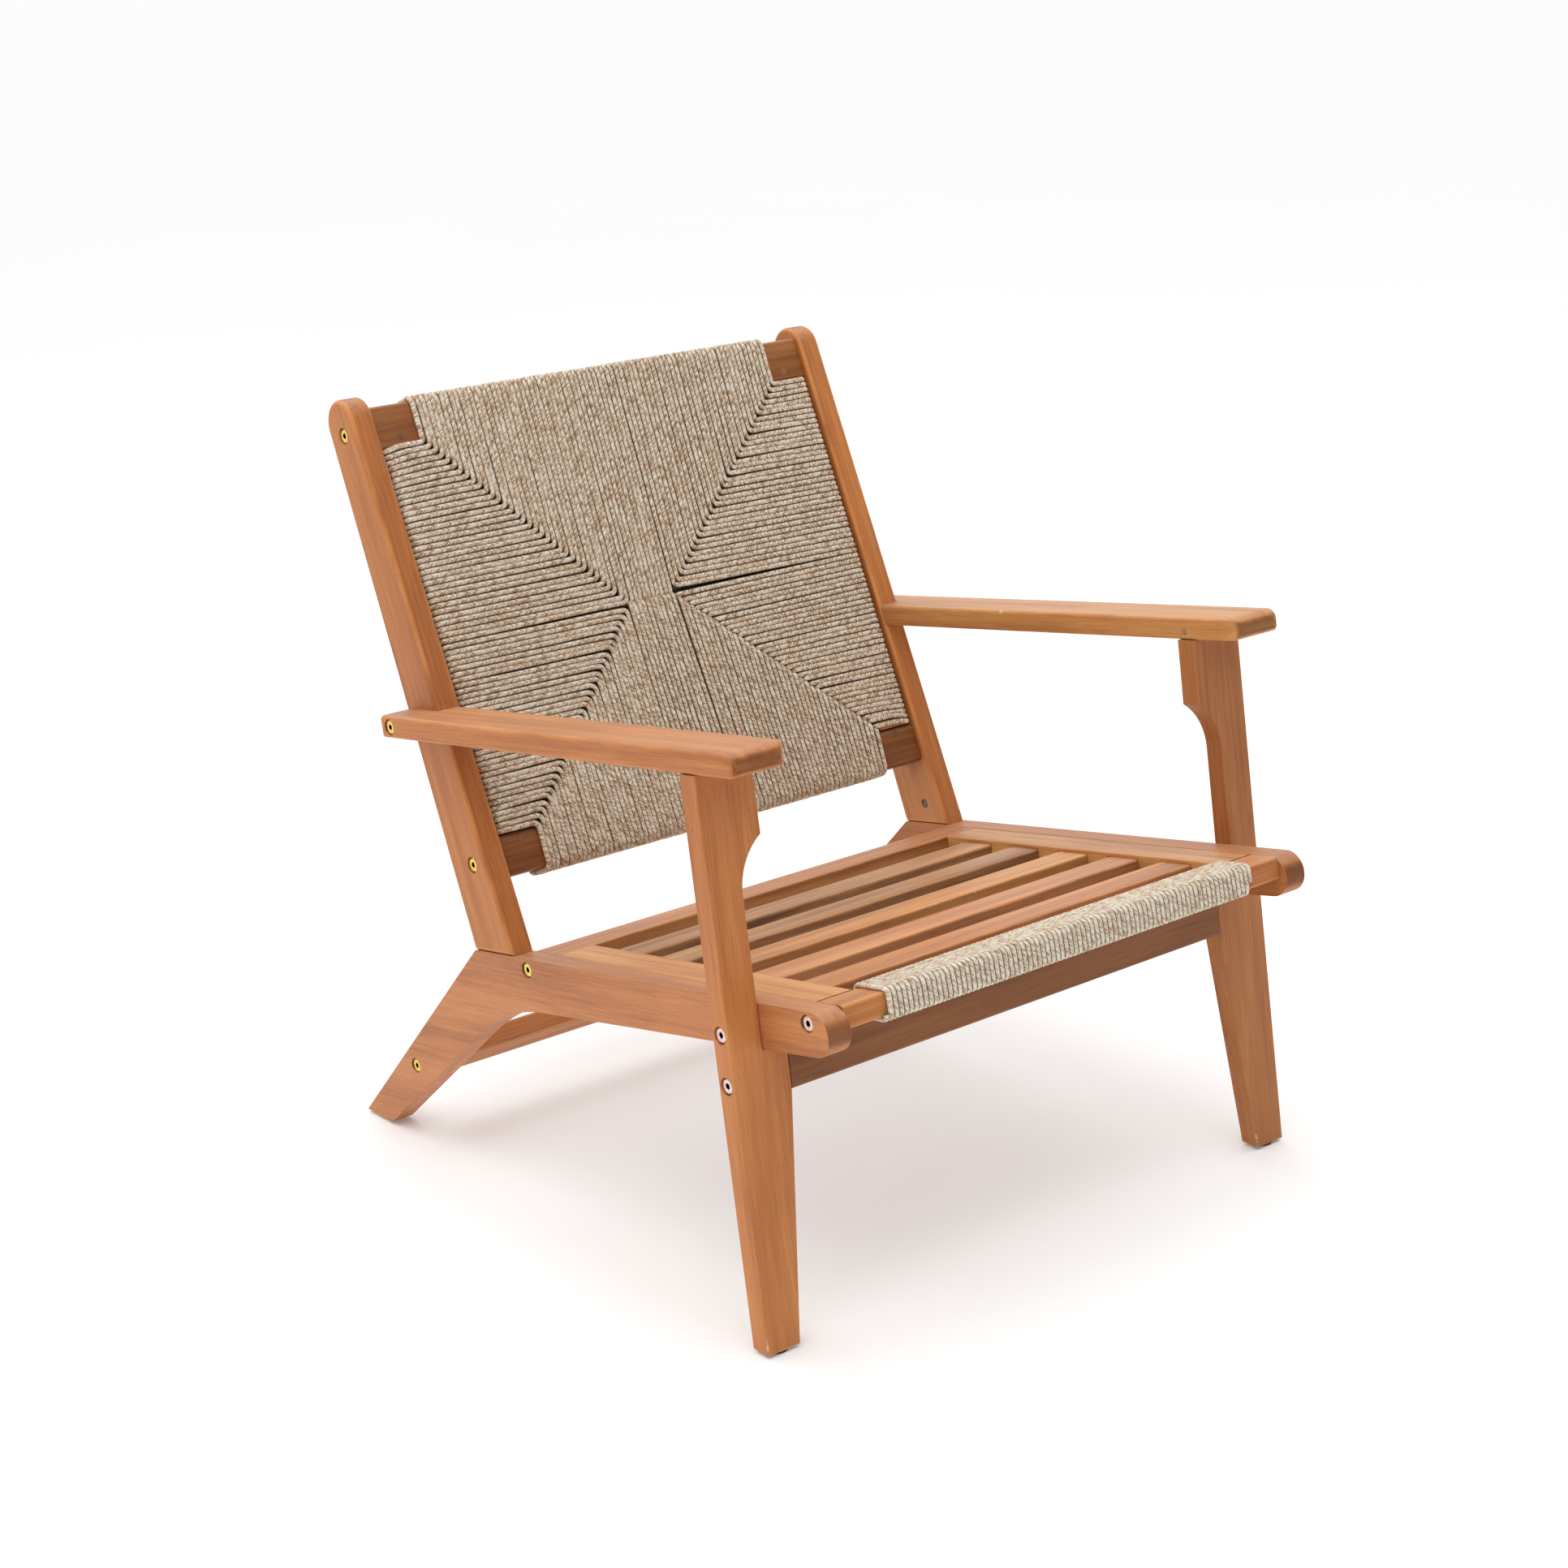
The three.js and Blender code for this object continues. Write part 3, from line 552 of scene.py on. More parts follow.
def cutter_rod(place, axis, radius, a, b, u, v, sides=40):
    """A solid cylinder along an axis of a frame, to cut with."""
    bm = bmesh.new()
    rings = []
    for position in (a, b):
        ring = []
        for i in range(sides):
            angle = 2 * math.pi * i / sides
            p = u + radius * math.cos(angle)
            q = v + radius * math.sin(angle)
            ring.append(bm.verts.new(place.point(*ordered(axis, position, p, q))))
        rings.append(ring)
    skin(bm, rings)
    bm.faces.new(rings[0])
    bm.faces.new(rings[1])
    return to_object(bm, "cutter", None)


def carve(obj, cutters):
    """Cuts the solids out of obj, and removes them."""
    for cutter in cutters:
        modifier = obj.modifiers.new("cut", "BOOLEAN")
        modifier.operation = "DIFFERENCE"
        modifier.solver = "EXACT"
        modifier.object = cutter
    bpy.context.view_layer.update()
    evaluated = obj.evaluated_get(bpy.context.evaluated_depsgraph_get())
    mesh = bpy.data.meshes.new_from_object(evaluated)
    old = obj.data
    obj.modifiers.clear()
    obj.data = mesh
    bpy.data.meshes.remove(old)
    for cutter in cutters:
        bpy.data.objects.remove(cutter)


def publish(obj, node):
    """Puts the piece in place of its CAD node."""
    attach(obj, "root")
    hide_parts(node)


def fit(plank, node, cutters=()):
    """Cuts a plank's holes, shades it and puts it in place of its CAD node."""
    if cutters:
        carve(plank, cutters)
    smooth(plank)
    publish(plank, node)


# ---- bolts ----

# The frame, y and z of each bolt, the x of the face it enters, its length and its look.
BOLTS = {
    "top_rail": (BACK, 24, 537, PANEL_OUT, 62, "brass"),
    "low_rail": (BACK, 24, 97, PANEL_OUT, 62, "brass"),
    "rear_rail": (SEAT, -17, -11, PANEL_OUT, 62, "brass"),
    "front_rail": (SEAT, -458, -11, PANEL_OUT, 62, "steel"),
    "stretcher": (BRACE, 0, 0, PANEL_OUT, 62, "brass"),
    "leg_upper": (LEG, 11, 293, HALF_WIDTH, 58, "steel"),
    "leg_lower": (LEG, 11, 247, HALF_WIDTH, 92, "steel"),
    "arm_rear": (ARM, 560, 11, HALF_WIDTH, 56, "brass"),
}
HEAD_SINK = 1.2  # from the wood's face down to the head
BORE_R = 8.2  # the counterbore that the head sits in
BORE_DEPTH = 4.3
BOLT_SIDES = 48
HEX_HALF = 2.7

# A bolt's rings: (scale, depth) in the hex socket from its bottom up, then (radius, depth)
# round the head and down to the shank.
SOCKET_RINGS = ((1.0, -3.0), (1.0, -0.4), (1.14, 0.0))
HEAD_RINGS = ((5.6, 0.0), (6.3, -0.15), (6.8, -0.5), (7.0, -1.0), (7.0, -1.9))
NECK_RINGS = ((5.2, -2.6), (3.2, -4.2), (3.0, -6.0))


def bolt_cutters(stems, sign):
    """The counterbores of some bolts on one side."""
    cutters = []
    for stem in stems:
        place, y, z, face, _length, _look = BOLTS[stem]
        ends = sorted((sign * (face - HEAD_SINK - BORE_DEPTH), sign * (face + 5)))
        cutters.append(cutter_rod(place, "x", BORE_R, *ends, y, z))
    return cutters


def hex_radius(angle):
    sixth = math.pi / 3
    return HEX_HALF / math.cos((angle + sixth / 2) % sixth - sixth / 2)


def bolt(name, place, y, z, face, length, sign, spin, material, socket):
    """A flat-headed connector bolt, head outward, whose hex socket is painted dark as shade."""
    tip = ((3.0, -length + 1.5), (2.2, -length))
    bm = bmesh.new()
    loops = []
    for size, depth in SOCKET_RINGS + HEAD_RINGS + NECK_RINGS + tip:
        loop = []
        for i in range(BOLT_SIDES):
            angle = 2 * math.pi * i / BOLT_SIDES
            in_socket = len(loops) < len(SOCKET_RINGS)
            radius = hex_radius(angle) * size if in_socket else size
            x = sign * (face - HEAD_SINK + depth)
            turned = angle + spin
            p = (x, y + radius * math.cos(turned), z + radius * math.sin(turned))
            loop.append(bm.verts.new(place.point(*p)))
        loops.append(loop)
    skin(bm, loops)
    bm.faces.new(loops[-1])
    # The socket's floor and walls take the second material, painted dark as shade.
    bm.faces.new(loops[0]).material_index = 1
    bm.faces.ensure_lookup_table()
    for wall in range(BOLT_SIDES):
        bm.faces[wall].material_index = 1
    obj = to_object(bm, name, material)
    obj.data.materials.append(socket)
    smooth(obj, 40)
    return obj


def add_bolts(materials):
    rng = random.Random(7)
    for stem, (place, y, z, face, length, look) in BOLTS.items():
        for side, sign in SIDES:
            spin = rng.uniform(0, math.pi / 3)
            name = "bolt_%s_%s" % (stem, side)
            two_looks = (materials[look], materials["socket"])
            made = bolt(name + "_plated", place, y, z, face, length, sign, spin, *two_looks)
            publish(made, name)


# ---- frame planks ----


def arc(cy, cz, radius, start, stop, steps):
    """Points of an arc in (y, z), angles in degrees."""
    points = []
    for i in range(steps + 1):
        angle = math.radians(start + (stop - start) * i / steps)
        points.append((cy + radius * math.cos(angle), cz + radius * math.sin(angle)))
    return points


def between(place, to, y, z):
    """A (y, z) of one frame as it is in another."""
    return to.local(*place.flat(y, z))


def line_at(a, b, y):
    """The height at y of the line through a and b."""
    return a[1] + (b[1] - a[1]) * (y - a[0]) / (b[0] - a[0])


NOSE = (-465, -20)  # centre of the nose's arc in the seat's frame
NOSE_R = 20
POST_FOOT_Y = 75  # where the panel's sloping top ends, behind the post
REAR_FOOT_Y = (378.5, 429)
BEND_START = (-30, -52)  # under the seat, in its frame
BEND_PULL = (124, 201)
BEND_END = (188, 152.5)


def side_outline():
    """The side panel: seat rail, round nose and raked rear leg."""
    corner = SEAT.flat(POST_FOOT_Y, 0)
    lean = math.degrees(SEAT.tilt)
    start = SEAT.flat(*BEND_START)
    points = [(REAR_FOOT_Y[1], FOOT_Z), corner]
    points += arc(*SEAT.flat(*NOSE), NOSE_R, 90 - lean, 270 - lean, 24)
    for i in range(17):
        t = i / 16
        weights = ((1 - t) ** 2, 2 * t * (1 - t), t * t)
        pulls = (start, BEND_PULL, BEND_END)
        points.append(tuple(sum(w * p[k] for w, p in zip(weights, pulls)) for k in (0, 1)))
    points.append((REAR_FOOT_Y[0], FOOT_Z))
    return points


def side_plank(name, place, outline, sign, look, corners, rims):
    """A plank between the inner and the outer face of one side."""
    inner, outer = ([(sign * x, y, z) for y, z in outline] for x in (PANEL_IN, PANEL_OUT))
    return prism(name + "_eased", place, inner, outer, look, corners, rims)


def add_panels():
    outline = side_outline()
    for index, (side, sign) in enumerate(SIDES):
        corners = {0: 1.5, 1: 1.2, len(outline) - 1: 1.5}  # the foot and the post's end
        # The right panel's lower gain, 0.86 against 1.0, is painted shade.
        tone = ("orange", 0.86) if sign > 0 else ("pink", 1.0)
        look = wood("panel_wood_" + side, SEAT, "y", tone[0], 11 + index, 0.6, tone[1])
        name = "side_panel_" + side
        obj = side_plank(name, WORLD, outline, sign, look, corners, (1.6, 3.0))
        bores = bolt_cutters(["rear_rail", "front_rail", "stretcher"], sign)
        fit(obj, name, bores)


HOLLOW = (236.3, 410)  # centre of the leg's inner curve, as x and z in its frame
HOLLOW_R = 58


def leg_rings():
    """Front and rear outlines of a front leg, in its own frame."""
    under_arm = [between(ARM, LEG, y, -GAP) for y in (0, 100)]
    under_panel = [between(SEAT, LEG, *p) for p in (BEND_START, (NOSE[0], NOSE[1] - NOSE_R))]
    rings = []
    for y in (0, BOARD):
        floor = (FOOT_Z - LEG.z + y * LEG.s) / LEG.c
        top = line_at(*under_arm, y)
        shoulder = line_at(*under_panel, y) - GAP
        shape = [(HALF_WIDTH, floor), (HALF_WIDTH, top), (PANEL_IN, top)]
        rise = math.degrees(math.acos((PANEL_IN - 0.5 - HOLLOW[0]) / HOLLOW_R))
        shape += arc(*HOLLOW, HOLLOW_R, rise, 0, 14)
        shape += [(PANEL_OUT + GAP, shoulder), (PANEL_IN, shoulder)]
        shape += [(PANEL_IN, APRON[0]), (PANEL_OUT, floor)]
        rings.append([(x, y, z) for x, z in shape])
    return rings


def add_legs():
    front, rear = leg_rings()
    last = len(front) - 1
    for index, (side, sign) in enumerate(SIDES):
        rings = [[(sign * x, y, z) for x, y, z in ring] for ring in (front, rear)]
        # Painted shade: the right leg is darkened to 0.8 against 1.02 on the left.
        shade_gain = 0.8 if sign > 0 else 1.02
        look = wood("leg_wood_" + side, LEG, "z", "orange", 21 + index, 0.55, shade_gain)
        name = "front_leg_" + side
        corners = {0: 1.5, last: 1.5, last - 1: 4.0}
        obj = prism(name + "_eased", LEG, *rings, look, corners, (3.0, 3.0))
        fit(obj, name, bolt_cutters(["leg_upper", "leg_lower"], sign))


ARM_L = 574.5
ARM_PIN_OUT = 306.3  # x of the pin's blind end
ARM_PIN_R = 3.3


def inset(radius, y):
    """How far a rounded corner of that radius stands back, y from its end."""
    return 0 if y >= radius else radius - math.sqrt(radius**2 - (radius - y) ** 2)


def arm_stations(sign):
    """A flat bar whose front end is round in plan and in side view."""
    stations = []
    near = [0, 0.25, 0.8, 1.6, 2.6, 4, 5.5, 7.2, 9, 11, 13.5, 17]
    for y in near + [100, 250, 400, ARM_L - 1, ARM_L - 0.3, ARM_L]:
        end = max(0.0, y - (ARM_L - 1)) * 0.8
        x0 = PANEL_IN + inset(13, y) + end
        x1 = HALF_WIDTH - inset(5, y) - end
        z0 = inset(6, y) + end
        z1 = BOARD - inset(11, y) - end
        r = min(4.2, (z1 - z0) * 0.45)
        u = sorted((sign * x0, sign * x1))
        stations.append((y, u[0], u[1], z0, z1, (r * 0.8, r * 0.8, r, r)))
    return stations


def box_cutter(place, x, ys, zs):
    """A block to cut with. ys has its (y0, y1) at the lower z and at the upper one."""
    bm = bmesh.new()
    verts = []
    for z, (y0, y1) in zip(zs, ys):
        for px, py in ((x[0], y0), (x[1], y0), (x[1], y1), (x[0], y1)):
            verts.append(bm.verts.new(place.point(px, py, z)))
    bm.faces.new(verts[:4])
    bm.faces.new(verts[4:])
    skin(bm, (verts[:4], verts[4:]))
    return to_object(bm, "cutter", None)


def add_arms():
    under_arm = [between(ARM, LEG, y, -GAP) for y in (0, 100)]
    post_front = [between(BACK, ARM, -GAP, z)[::-1] for z in (100, 400)]
    for index, (side, sign) in enumerate(SIDES):
        # The right arm's lower gain, 0.86 against 0.98, is painted shade.
        tone = ("pale", 0.86) if sign > 0 else ("orange", 0.98)
        look = wood("arm_wood_" + side, ARM, "y", tone[0], 31 + index, 0.85, tone[1])
        name = "arm_" + side
        obj = loft(name + "_eased", ARM, "y", arm_stations(sign), look)
        x = sorted((sign * (PANEL_IN - 5), sign * (PANEL_OUT + GAP)))
        zs = (-5, BOARD + 5)
        ys = [(line_at(*post_front, z), ARM_L + 10) for z in zs]
        notch = box_cutter(ARM, x, ys, zs)
        middle = line_at(*under_arm, BOARD / 2) + 8
        y, z = between(LEG, ARM, BOARD / 2, middle)
        ends = sorted((sign * (PANEL_IN - 2), sign * ARM_PIN_OUT))
        pin = cutter_rod(ARM, "x", ARM_PIN_R, *ends, y, z)
        fit(obj, name, bolt_cutters(["arm_rear"], sign) + [notch, pin])


POST_R = 25  # of its round top, and half its depth
POST_TOP = 548  # centre of the round top
NUT = (26, 29.7)  # y and z of the barrel nut
NUT_R = 5.2


def add_posts():
    line = [between(SEAT, BACK, y, 0) for y in (POST_FOOT_Y, -10)]
    outline = [(0, line_at(*line, 0) + GAP), (line[0][0], line[0][1] + GAP)]
    outline += arc(POST_R, POST_TOP, POST_R, 0, 180, 26)
    for index, (side, sign) in enumerate(SIDES):
        # The posts' edges are lightened more, as a painted highlight along the eased edges.
        look = wood("post_wood_" + side, BACK, "z", "orange", 41 + index, 0.6, 0.98, 0.45)
        name = "back_post_" + side
        obj = side_plank(name, BACK, outline, sign, look, None, (3.6, 4.4))
        ends = sorted((sign * (PANEL_IN - 2), sign * (PANEL_IN + 20)))
        nut = cutter_rod(BACK, "x", NUT_R, *ends, *NUT)
        bores = bolt_cutters(["top_rail", "low_rail"], sign)
        fit(obj, name, bores + [nut])


def plug_cutters(z):
    """The holes for the pins through a rail, at that height."""
    holes = []
    for _side, sign in SIDES:
        holes.append(cutter_rod(BACK, "y", PLUG_R, 0, 31, sign * PLUG_X, z, 24))
    return holes


# Each rail's z, the seed and gain of its wood, the radii of its edges, and its pins' z.
# The low gains paint in the shade that the rails lie in.
BACK_RAILS = {
    "top": (TOP_RAIL, 51, 0.55, (2.5, 3, 5, 4), 523.5),
    "low": (LOW_RAIL, 52, 0.47, (5, 4, 3, 8), 110.5),
}


def add_back_frame():
    x = (-RAIL_X, RAIL_X)
    for stem, (z, seed, shade_gain, radii, pins) in BACK_RAILS.items():
        look = wood(stem + "_rail_wood", BACK, "x", "orange", seed, 1.0, shade_gain)
        name = "back_%s_rail" % stem
        rail = bar(name + "_eased", BACK, "x", x, BACK_DEPTH, z, look, radii, 0.5)
        fit(rail, name, plug_cutters(pins))
    look = wood("stile_wood", BACK, "z", "orange", 53)
    height = (LOW_RAIL[1] + GAP, TOP_RAIL[0] - GAP)
    for side, sign in SIDES:
        name = "back_stile_" + side
        span = sorted(sign * x for x in STILE_X)
        stile = bar(name + "_eased", BACK, "z", height, span, BACK_DEPTH, look, 4, 0.3)
        fit(stile, name)


# A slat's tone and contrast, and the slot of its colour, from the rear.
SLAT_LOOKS = (
    ("grey", 1.4, "grey_wood"),
    ("grey", 1.1, "grey_wood"),
    ("pale", 0.9, "pale_wood"),
    ("pink", 1.0, "pale_wood"),
    ("orange", 1.0, "wood"),
)


def strip_housings(sign):
    """The mortises for the slats' ends in one strip."""
    reach = sorted((sign * (STRIP_IN - 2.6), sign * (SLAT_X + 0.4)))
    low, high = SLAT_DEPTH
    housings = []
    for y in SLAT_FRONTS:
        sides = (y - GAP, y + SLAT_WIDTH + GAP)
        depth = (low - GAP, high + GAP)
        housings.append(box_cutter(SEAT, reach, (sides, sides), depth))
    return housings


def add_seat():
    x = (-RAIL_X, RAIL_X)
    # Painted shade darkens the seat rails' faces that don't look up, the rear rail's most.
    rear_look = wood("rear_rail_wood", SEAT, "x", "orange", 61, flank_shade=0.55)
    front_look = wood("front_rail_wood", SEAT, "x", "orange", 62, flank_shade=0.85)
    rear = bar("rear_seat_rail_eased", SEAT, "x", x, REAR_RAIL, SEAT_DEPTH, rear_look, 2.2, 0.4)
    name = "front_seat_rail"
    front = bar(name + "_eased", SEAT, "x", x, FRONT_RAIL, SEAT_DEPTH, front_look, 3.5, 0.4)
    fit(rear, "rear_seat_rail")
    fit(front, name)
    length = (FRONT_RAIL[1] + GAP, REAR_RAIL[0] - GAP)
    for index, (side, sign) in enumerate(SIDES):
        # The right strip's lower gain, 0.86 against 1.0, is painted shade.
        shade_gain = 0.86 if sign > 0 else 1.0
        look = wood("strip_wood_" + side, SEAT, "y", "pale", 63 + index, 1.2, shade_gain)
        span = sorted((sign * STRIP_IN, sign * RAIL_X))
        name = "seat_strip_" + side
        strip = bar(name + "_eased", SEAT, "y", length, span, SEAT_DEPTH, look, 1.6, 0.6)
        fit(strip, name, strip_housings(sign))
    # Painted shade darkens the slats' faces that don't look up.
    for i, (y, (tone, contrast, slot)) in enumerate(zip(SLAT_FRONTS, SLAT_LOOKS)):
        look = wood("slat_wood_%d" % (i + 1), SEAT, "x", tone, 71 + i, contrast, flank_shade=0.6)
        name = "seat_slat_%d" % (i + 1)
        ends = (-SLAT_X, SLAT_X)
        width = (y, y + SLAT_WIDTH)
        slat = bar(name + "_eased", SEAT, "x", ends, width, SLAT_DEPTH, look, 3, 0.5)
        fit(slat, name)


def add_cross_rails():
    x = (-RAIL_X, RAIL_X)
    # Painted shade: the apron is darkened to 0.46, as it lies under the seat.
    look = wood("apron_wood", LEG, "x", "orange", 81, 0.6, 0.46)
    apron = bar("front_apron_eased", LEG, "x", x, (0, BOARD), APRON, look, 2.5, 0.4)
    fit(apron, "front_apron")
    look = wood("stretcher_wood", BRACE, "x", "orange", 82)
    brace = bar("rear_stretcher_eased", BRACE, "x", x, (-11, 11), (-17.5, 17.5), look, 2.5, 0.4)
    fit(brace, "rear_stretcher")


# ---- rope ----

ROPE_R = 2.85
STRAND_SIDES = 12
TOUCH = 0.3  # a point nearer than this to the core has no outward side of its own


def round_v(turn, free):
    """The v of a point that far round, from -0.5 to 0.5. A free side, which no other
    strand touches, keeps the look of the outward side."""
    return turn * 0.25 if turn * free > 0 else turn


class Strands:
    """Collects swept strands into one mesh, with a UV map along and round each strand.

    The strands lie on a core box, and v is 0 on the side that faces away from it."""

    def __init__(self, core):
        self.low, self.high = np.asarray(core, float).T
        self.verts = []
        self.faces = []
        self.uvs = []
        self.total = 0

    def outward(self, p):
        away = p - np.clip(p, self.low, self.high)
        away[np.linalg.norm(away, axis=1) < TOUCH] = (0.0, -1.0, 0.0)
        return away

    def rings(self, p, tangent, radius, flat):
        """The points round a line, flat times as thick outward as along the core."""
        tangent /= np.linalg.norm(tangent, axis=1)[:, None]
        normal = self.outward(p)
        normal -= (normal * tangent).sum(1)[:, None] * tangent
        normal /= np.linalg.norm(normal, axis=1)[:, None]
        binormal = np.cross(tangent, normal)
        angles = np.arange(STRAND_SIDES) * 2 * np.pi / STRAND_SIDES
        c = np.cos(angles)[None, :, None]
        s = np.sin(angles)[None, :, None]
        size = np.broadcast_to(np.asarray(radius, float), (len(p),))[:, None, None]
        around = flat * c * normal[:, None, :] + s * binormal[:, None, :]
        return (p[:, None, :] + size * around).reshape(-1, 3)

    def sweep(self, points, radius, closed, start, flat=1.0, free=0):
        """A strand along the points. start is its first u, and free marks free sides."""
        p = np.asarray(points, float)
        n = len(p)
        if closed:
            tangent = np.roll(p, -1, 0) - np.roll(p, 1, 0)
        else:
            tangent = np.gradient(p, axis=0)
        self.verts.append(self.rings(p, tangent, radius, flat))
        step = np.linalg.norm(np.diff(np.vstack([p, p[:1]]), axis=0), axis=1)
        free = np.broadcast_to(np.asarray(free), (n,))
        u = start + np.concatenate([[0], np.cumsum(step)]) / (2 * ROPE_R)
        sides = STRAND_SIDES
        base = self.total
        for i in range(n if closed else n - 1):
            here = base + i * sides
            there = base + (i + 1) % n * sides
            for j in range(sides):
                m = (j + 1) % sides
                self.faces.append((here + j, here + m, there + m, there + j))
                turn = j / sides - (1 if 2 * j >= sides else 0)
                v0 = round_v(turn, free[i])
                v1 = round_v(turn + 1 / sides, free[i])
                self.uvs.extend((u[i], v0, u[i], v1, u[i + 1], v1, u[i + 1], v0))
        if not closed:
            last = base + (n - 1) * sides
            self.faces.append(tuple(base + j for j in range(sides)))
            self.faces.append(tuple(last + sides - 1 - j for j in range(sides)))
            self.uvs.extend([u[0], 0.5] * sides + [u[n - 1], 0.5] * sides)
        self.total += n * sides

    def build(self, name, place, material):
        local = np.vstack(self.verts)
        y = place.y + local[:, 1] * place.c + local[:, 2] * place.s + SHIFT
        z = place.z - local[:, 1] * place.s + local[:, 2] * place.c
        world = np.stack([local[:, 0], y, z], 1) * MM
        mesh = bpy.data.meshes.new(name)
        mesh.from_pydata(world.tolist(), [], self.faces)
        layer = mesh.uv_layers.new(name="strand")
        layer.data.foreach_set("uv", np.asarray(self.uvs, np.float32))
        mesh.polygons.foreach_set("use_smooth", [True] * len(mesh.polygons))
        mesh.materials.append(material)
        bm = bmesh.new()
        bm.from_mesh(mesh)
        bmesh.ops.recalc_face_normals(bm, faces=bm.faces)
        bm.to_mesh(mesh)
        bm.free()
        obj = bpy.data.objects.new(name, mesh)
        scene.collection.objects.link(obj)
        return obj


def route(corners, radii, spacing, steps=6):
    """A closed line through corner points with rounded corners, in small steps."""
    count = len(corners)
    points = [np.asarray(c, float) for c in corners]
    out = []
    for i in range(count):
        before = points[i - 1]
        here = points[i]
        after = points[(i + 1) % count]
        a = before - here
        b = after - here
        la = np.linalg.norm(a)
        lb = np.linalg.norm(b)
        a /= la
        b /= lb
        half = math.acos(max(-1.0, min(1.0, float(a.dot(b))))) / 2
        cut = min(radii[i] / math.tan(half), 0.48 * la, 0.48 * lb)
        p0 = here + a * cut
        p1 = here + b * cut
        if out:
            out.extend(straight(out[-1], p0, spacing))
        for k in range(steps + 1):
            t = k / steps
            out.append((1 - t) ** 2 * p0 + 2 * t * (1 - t) * here + t * t * p1)
    out.extend(straight(out[-1], out[0], spacing))
    return out


def straight(a, b, spacing):
    count = int(np.linalg.norm(b - a) / spacing)
    return [a + (b - a) * k / (count + 1) for k in range(1, count + 1)]


QUARTER = 34  # strands in each corner of the weave
TOP_S = TOP_RAIL[1] + ROPE_R
LOW_S = LOW_RAIL[0] - ROPE_R
FRONT_M = BACK_DEPTH[0] - ROPE_R
REAR_M = BACK_DEPTH[1] + ROPE_R
SIDE_X = STILE_X[1] + ROPE_R
WEAVE_CORE = ((-STILE_X[1], STILE_X[1]), BACK_DEPTH, (LOW_RAIL[0], TOP_RAIL[1]))

# Each corner: (x, s) of its first and last turn, x of its first and last strand on the
# rail, s of them on the side, the radius of a turn, and whether the strands dive there.
# s is the height in the back's frame.
QUARTERS = {
    "upper_left": ((-219.4, 514), (-42.5, 313.5), (-219.2, -35.8), (510.6, 315.0), 5.5, False),
    "upper_right": ((219, 510), (18.6, 319), (219.1, 26.9), (510.6, 315.4), 5.0, False),
    "lower_left": ((-219.4, 120.8), (-47, 306.5), (-221.3, -44.6), (121.0, 308.6), 7.0, False),
    "lower_right": ((217, 124.8), (20.6, 309.5), (213.2, 28.6), (121.0, 309.9), 3.0, True),
}

# The straight strands of the narrow middle: their number, the x of the first and last
# where they tuck in, the height of that, and the same at the rail.
MIDDLES = (
    (10, (-36.9, 11.6), 314.2, (-30.2, 20.6), TOP_S),
    (11, (-41.4, 13.2), 312.2, (-38.9, 22.3), LOW_S),
)
LINE_STEP = 12  # most millimetres between the points of a strand

# The strands that cross inside: their number, reach to each side, depth and heights.
INNER_COUNT = 84
INNER_X = 240
INNER_M = 24
INNER_S = (LOW_RAIL[1] + 1, TOP_RAIL[0] - 1)
INNER_R = 3.0


def wobble(points, rng, amount):
    """Small slow wander of a strand that is never pulled quite straight."""
    waves = [(rng.uniform(0.02, 0.06), rng.uniform(0, 6.3), rng.uniform(-1, 1)) for _ in range(3)]
    out = []
    length = 0.0
    last = points[0]
    for p in points:
        length += float(np.linalg.norm(p - last))
        last = p
        shift = sum(a * math.sin(f * length + ph) for f, ph, a in waves) * amount
        out.append(p + np.array((shift, 0.0, shift * 0.7)))
    return out


def part_way(ends, t):
    """The value t of the way from the first end to the second."""
    return ends[0] + (ends[1] - ends[0]) * t


def corner_strand(key, k, rng):
    """The closed line of one strand that goes round a side and a rail."""
    outer, inner, rail, side, turn, dives = QUARTERS[key]
    upper = key.startswith("upper")
    left = key.endswith("left")
    t = k / (QUARTER - 1)
    x = part_way((outer[0], inner[0]), t) + rng.uniform(-0.25, 0.25)
    s = part_way((outer[1], inner[1]), t) + rng.uniform(-0.8, 0.8)
    rail_x = part_way(rail, t) + rng.uniform(-0.2, 0.2)
    rail_s = TOP_S if upper else LOW_S
    side_s = part_way(side, t) + rng.uniform(-0.2, 0.2)
    side_x = -SIDE_X if left else SIDE_X
    sink = rng.uniform(0.2, 1.4)
    turn *= rng.uniform(0.8, 1.3)
    outside = -1 if left else 1
    # Each turn is an (x, y, s) and the radius of the bend there.
    turns = [
        (side_x, FRONT_M, side_s, 7),
        (x + outside * 30, FRONT_M + 0.2, s + (side_s - s) * 0.2, 20),
    ]
    if dives:
        turns += [
            (x + outside * 1.5, FRONT_M + 0.8, s, 3),
            (x + outside * 0.5, FRONT_M + 9, s, 3),
            (x, FRONT_M + 9, s - 5, 3),
            (x, FRONT_M, s - 4, 3),
        ]
    else:
        turns.append((x, FRONT_M + sink, s, turn))
    turns += [
        (rail_x, FRONT_M, rail_s, 9),
        (rail_x, REAR_M, rail_s, 9),
        (x, REAR_M - sink, s, turn),
        (side_x, REAR_M, side_s, 7),
    ]
    return route([t[:3] for t in turns], [t[3] for t in turns], LINE_STEP)


def pressed(line, radius):
    """Strand radii: thinner where the strand runs up and down, packed close."""
    line = np.asarray(line)
    along = np.abs(np.gradient(line, axis=0))
    upright = along[:, 2] / np.maximum(along.sum(1), 1e-6)
    return radius * (1 - 0.025 * upright)


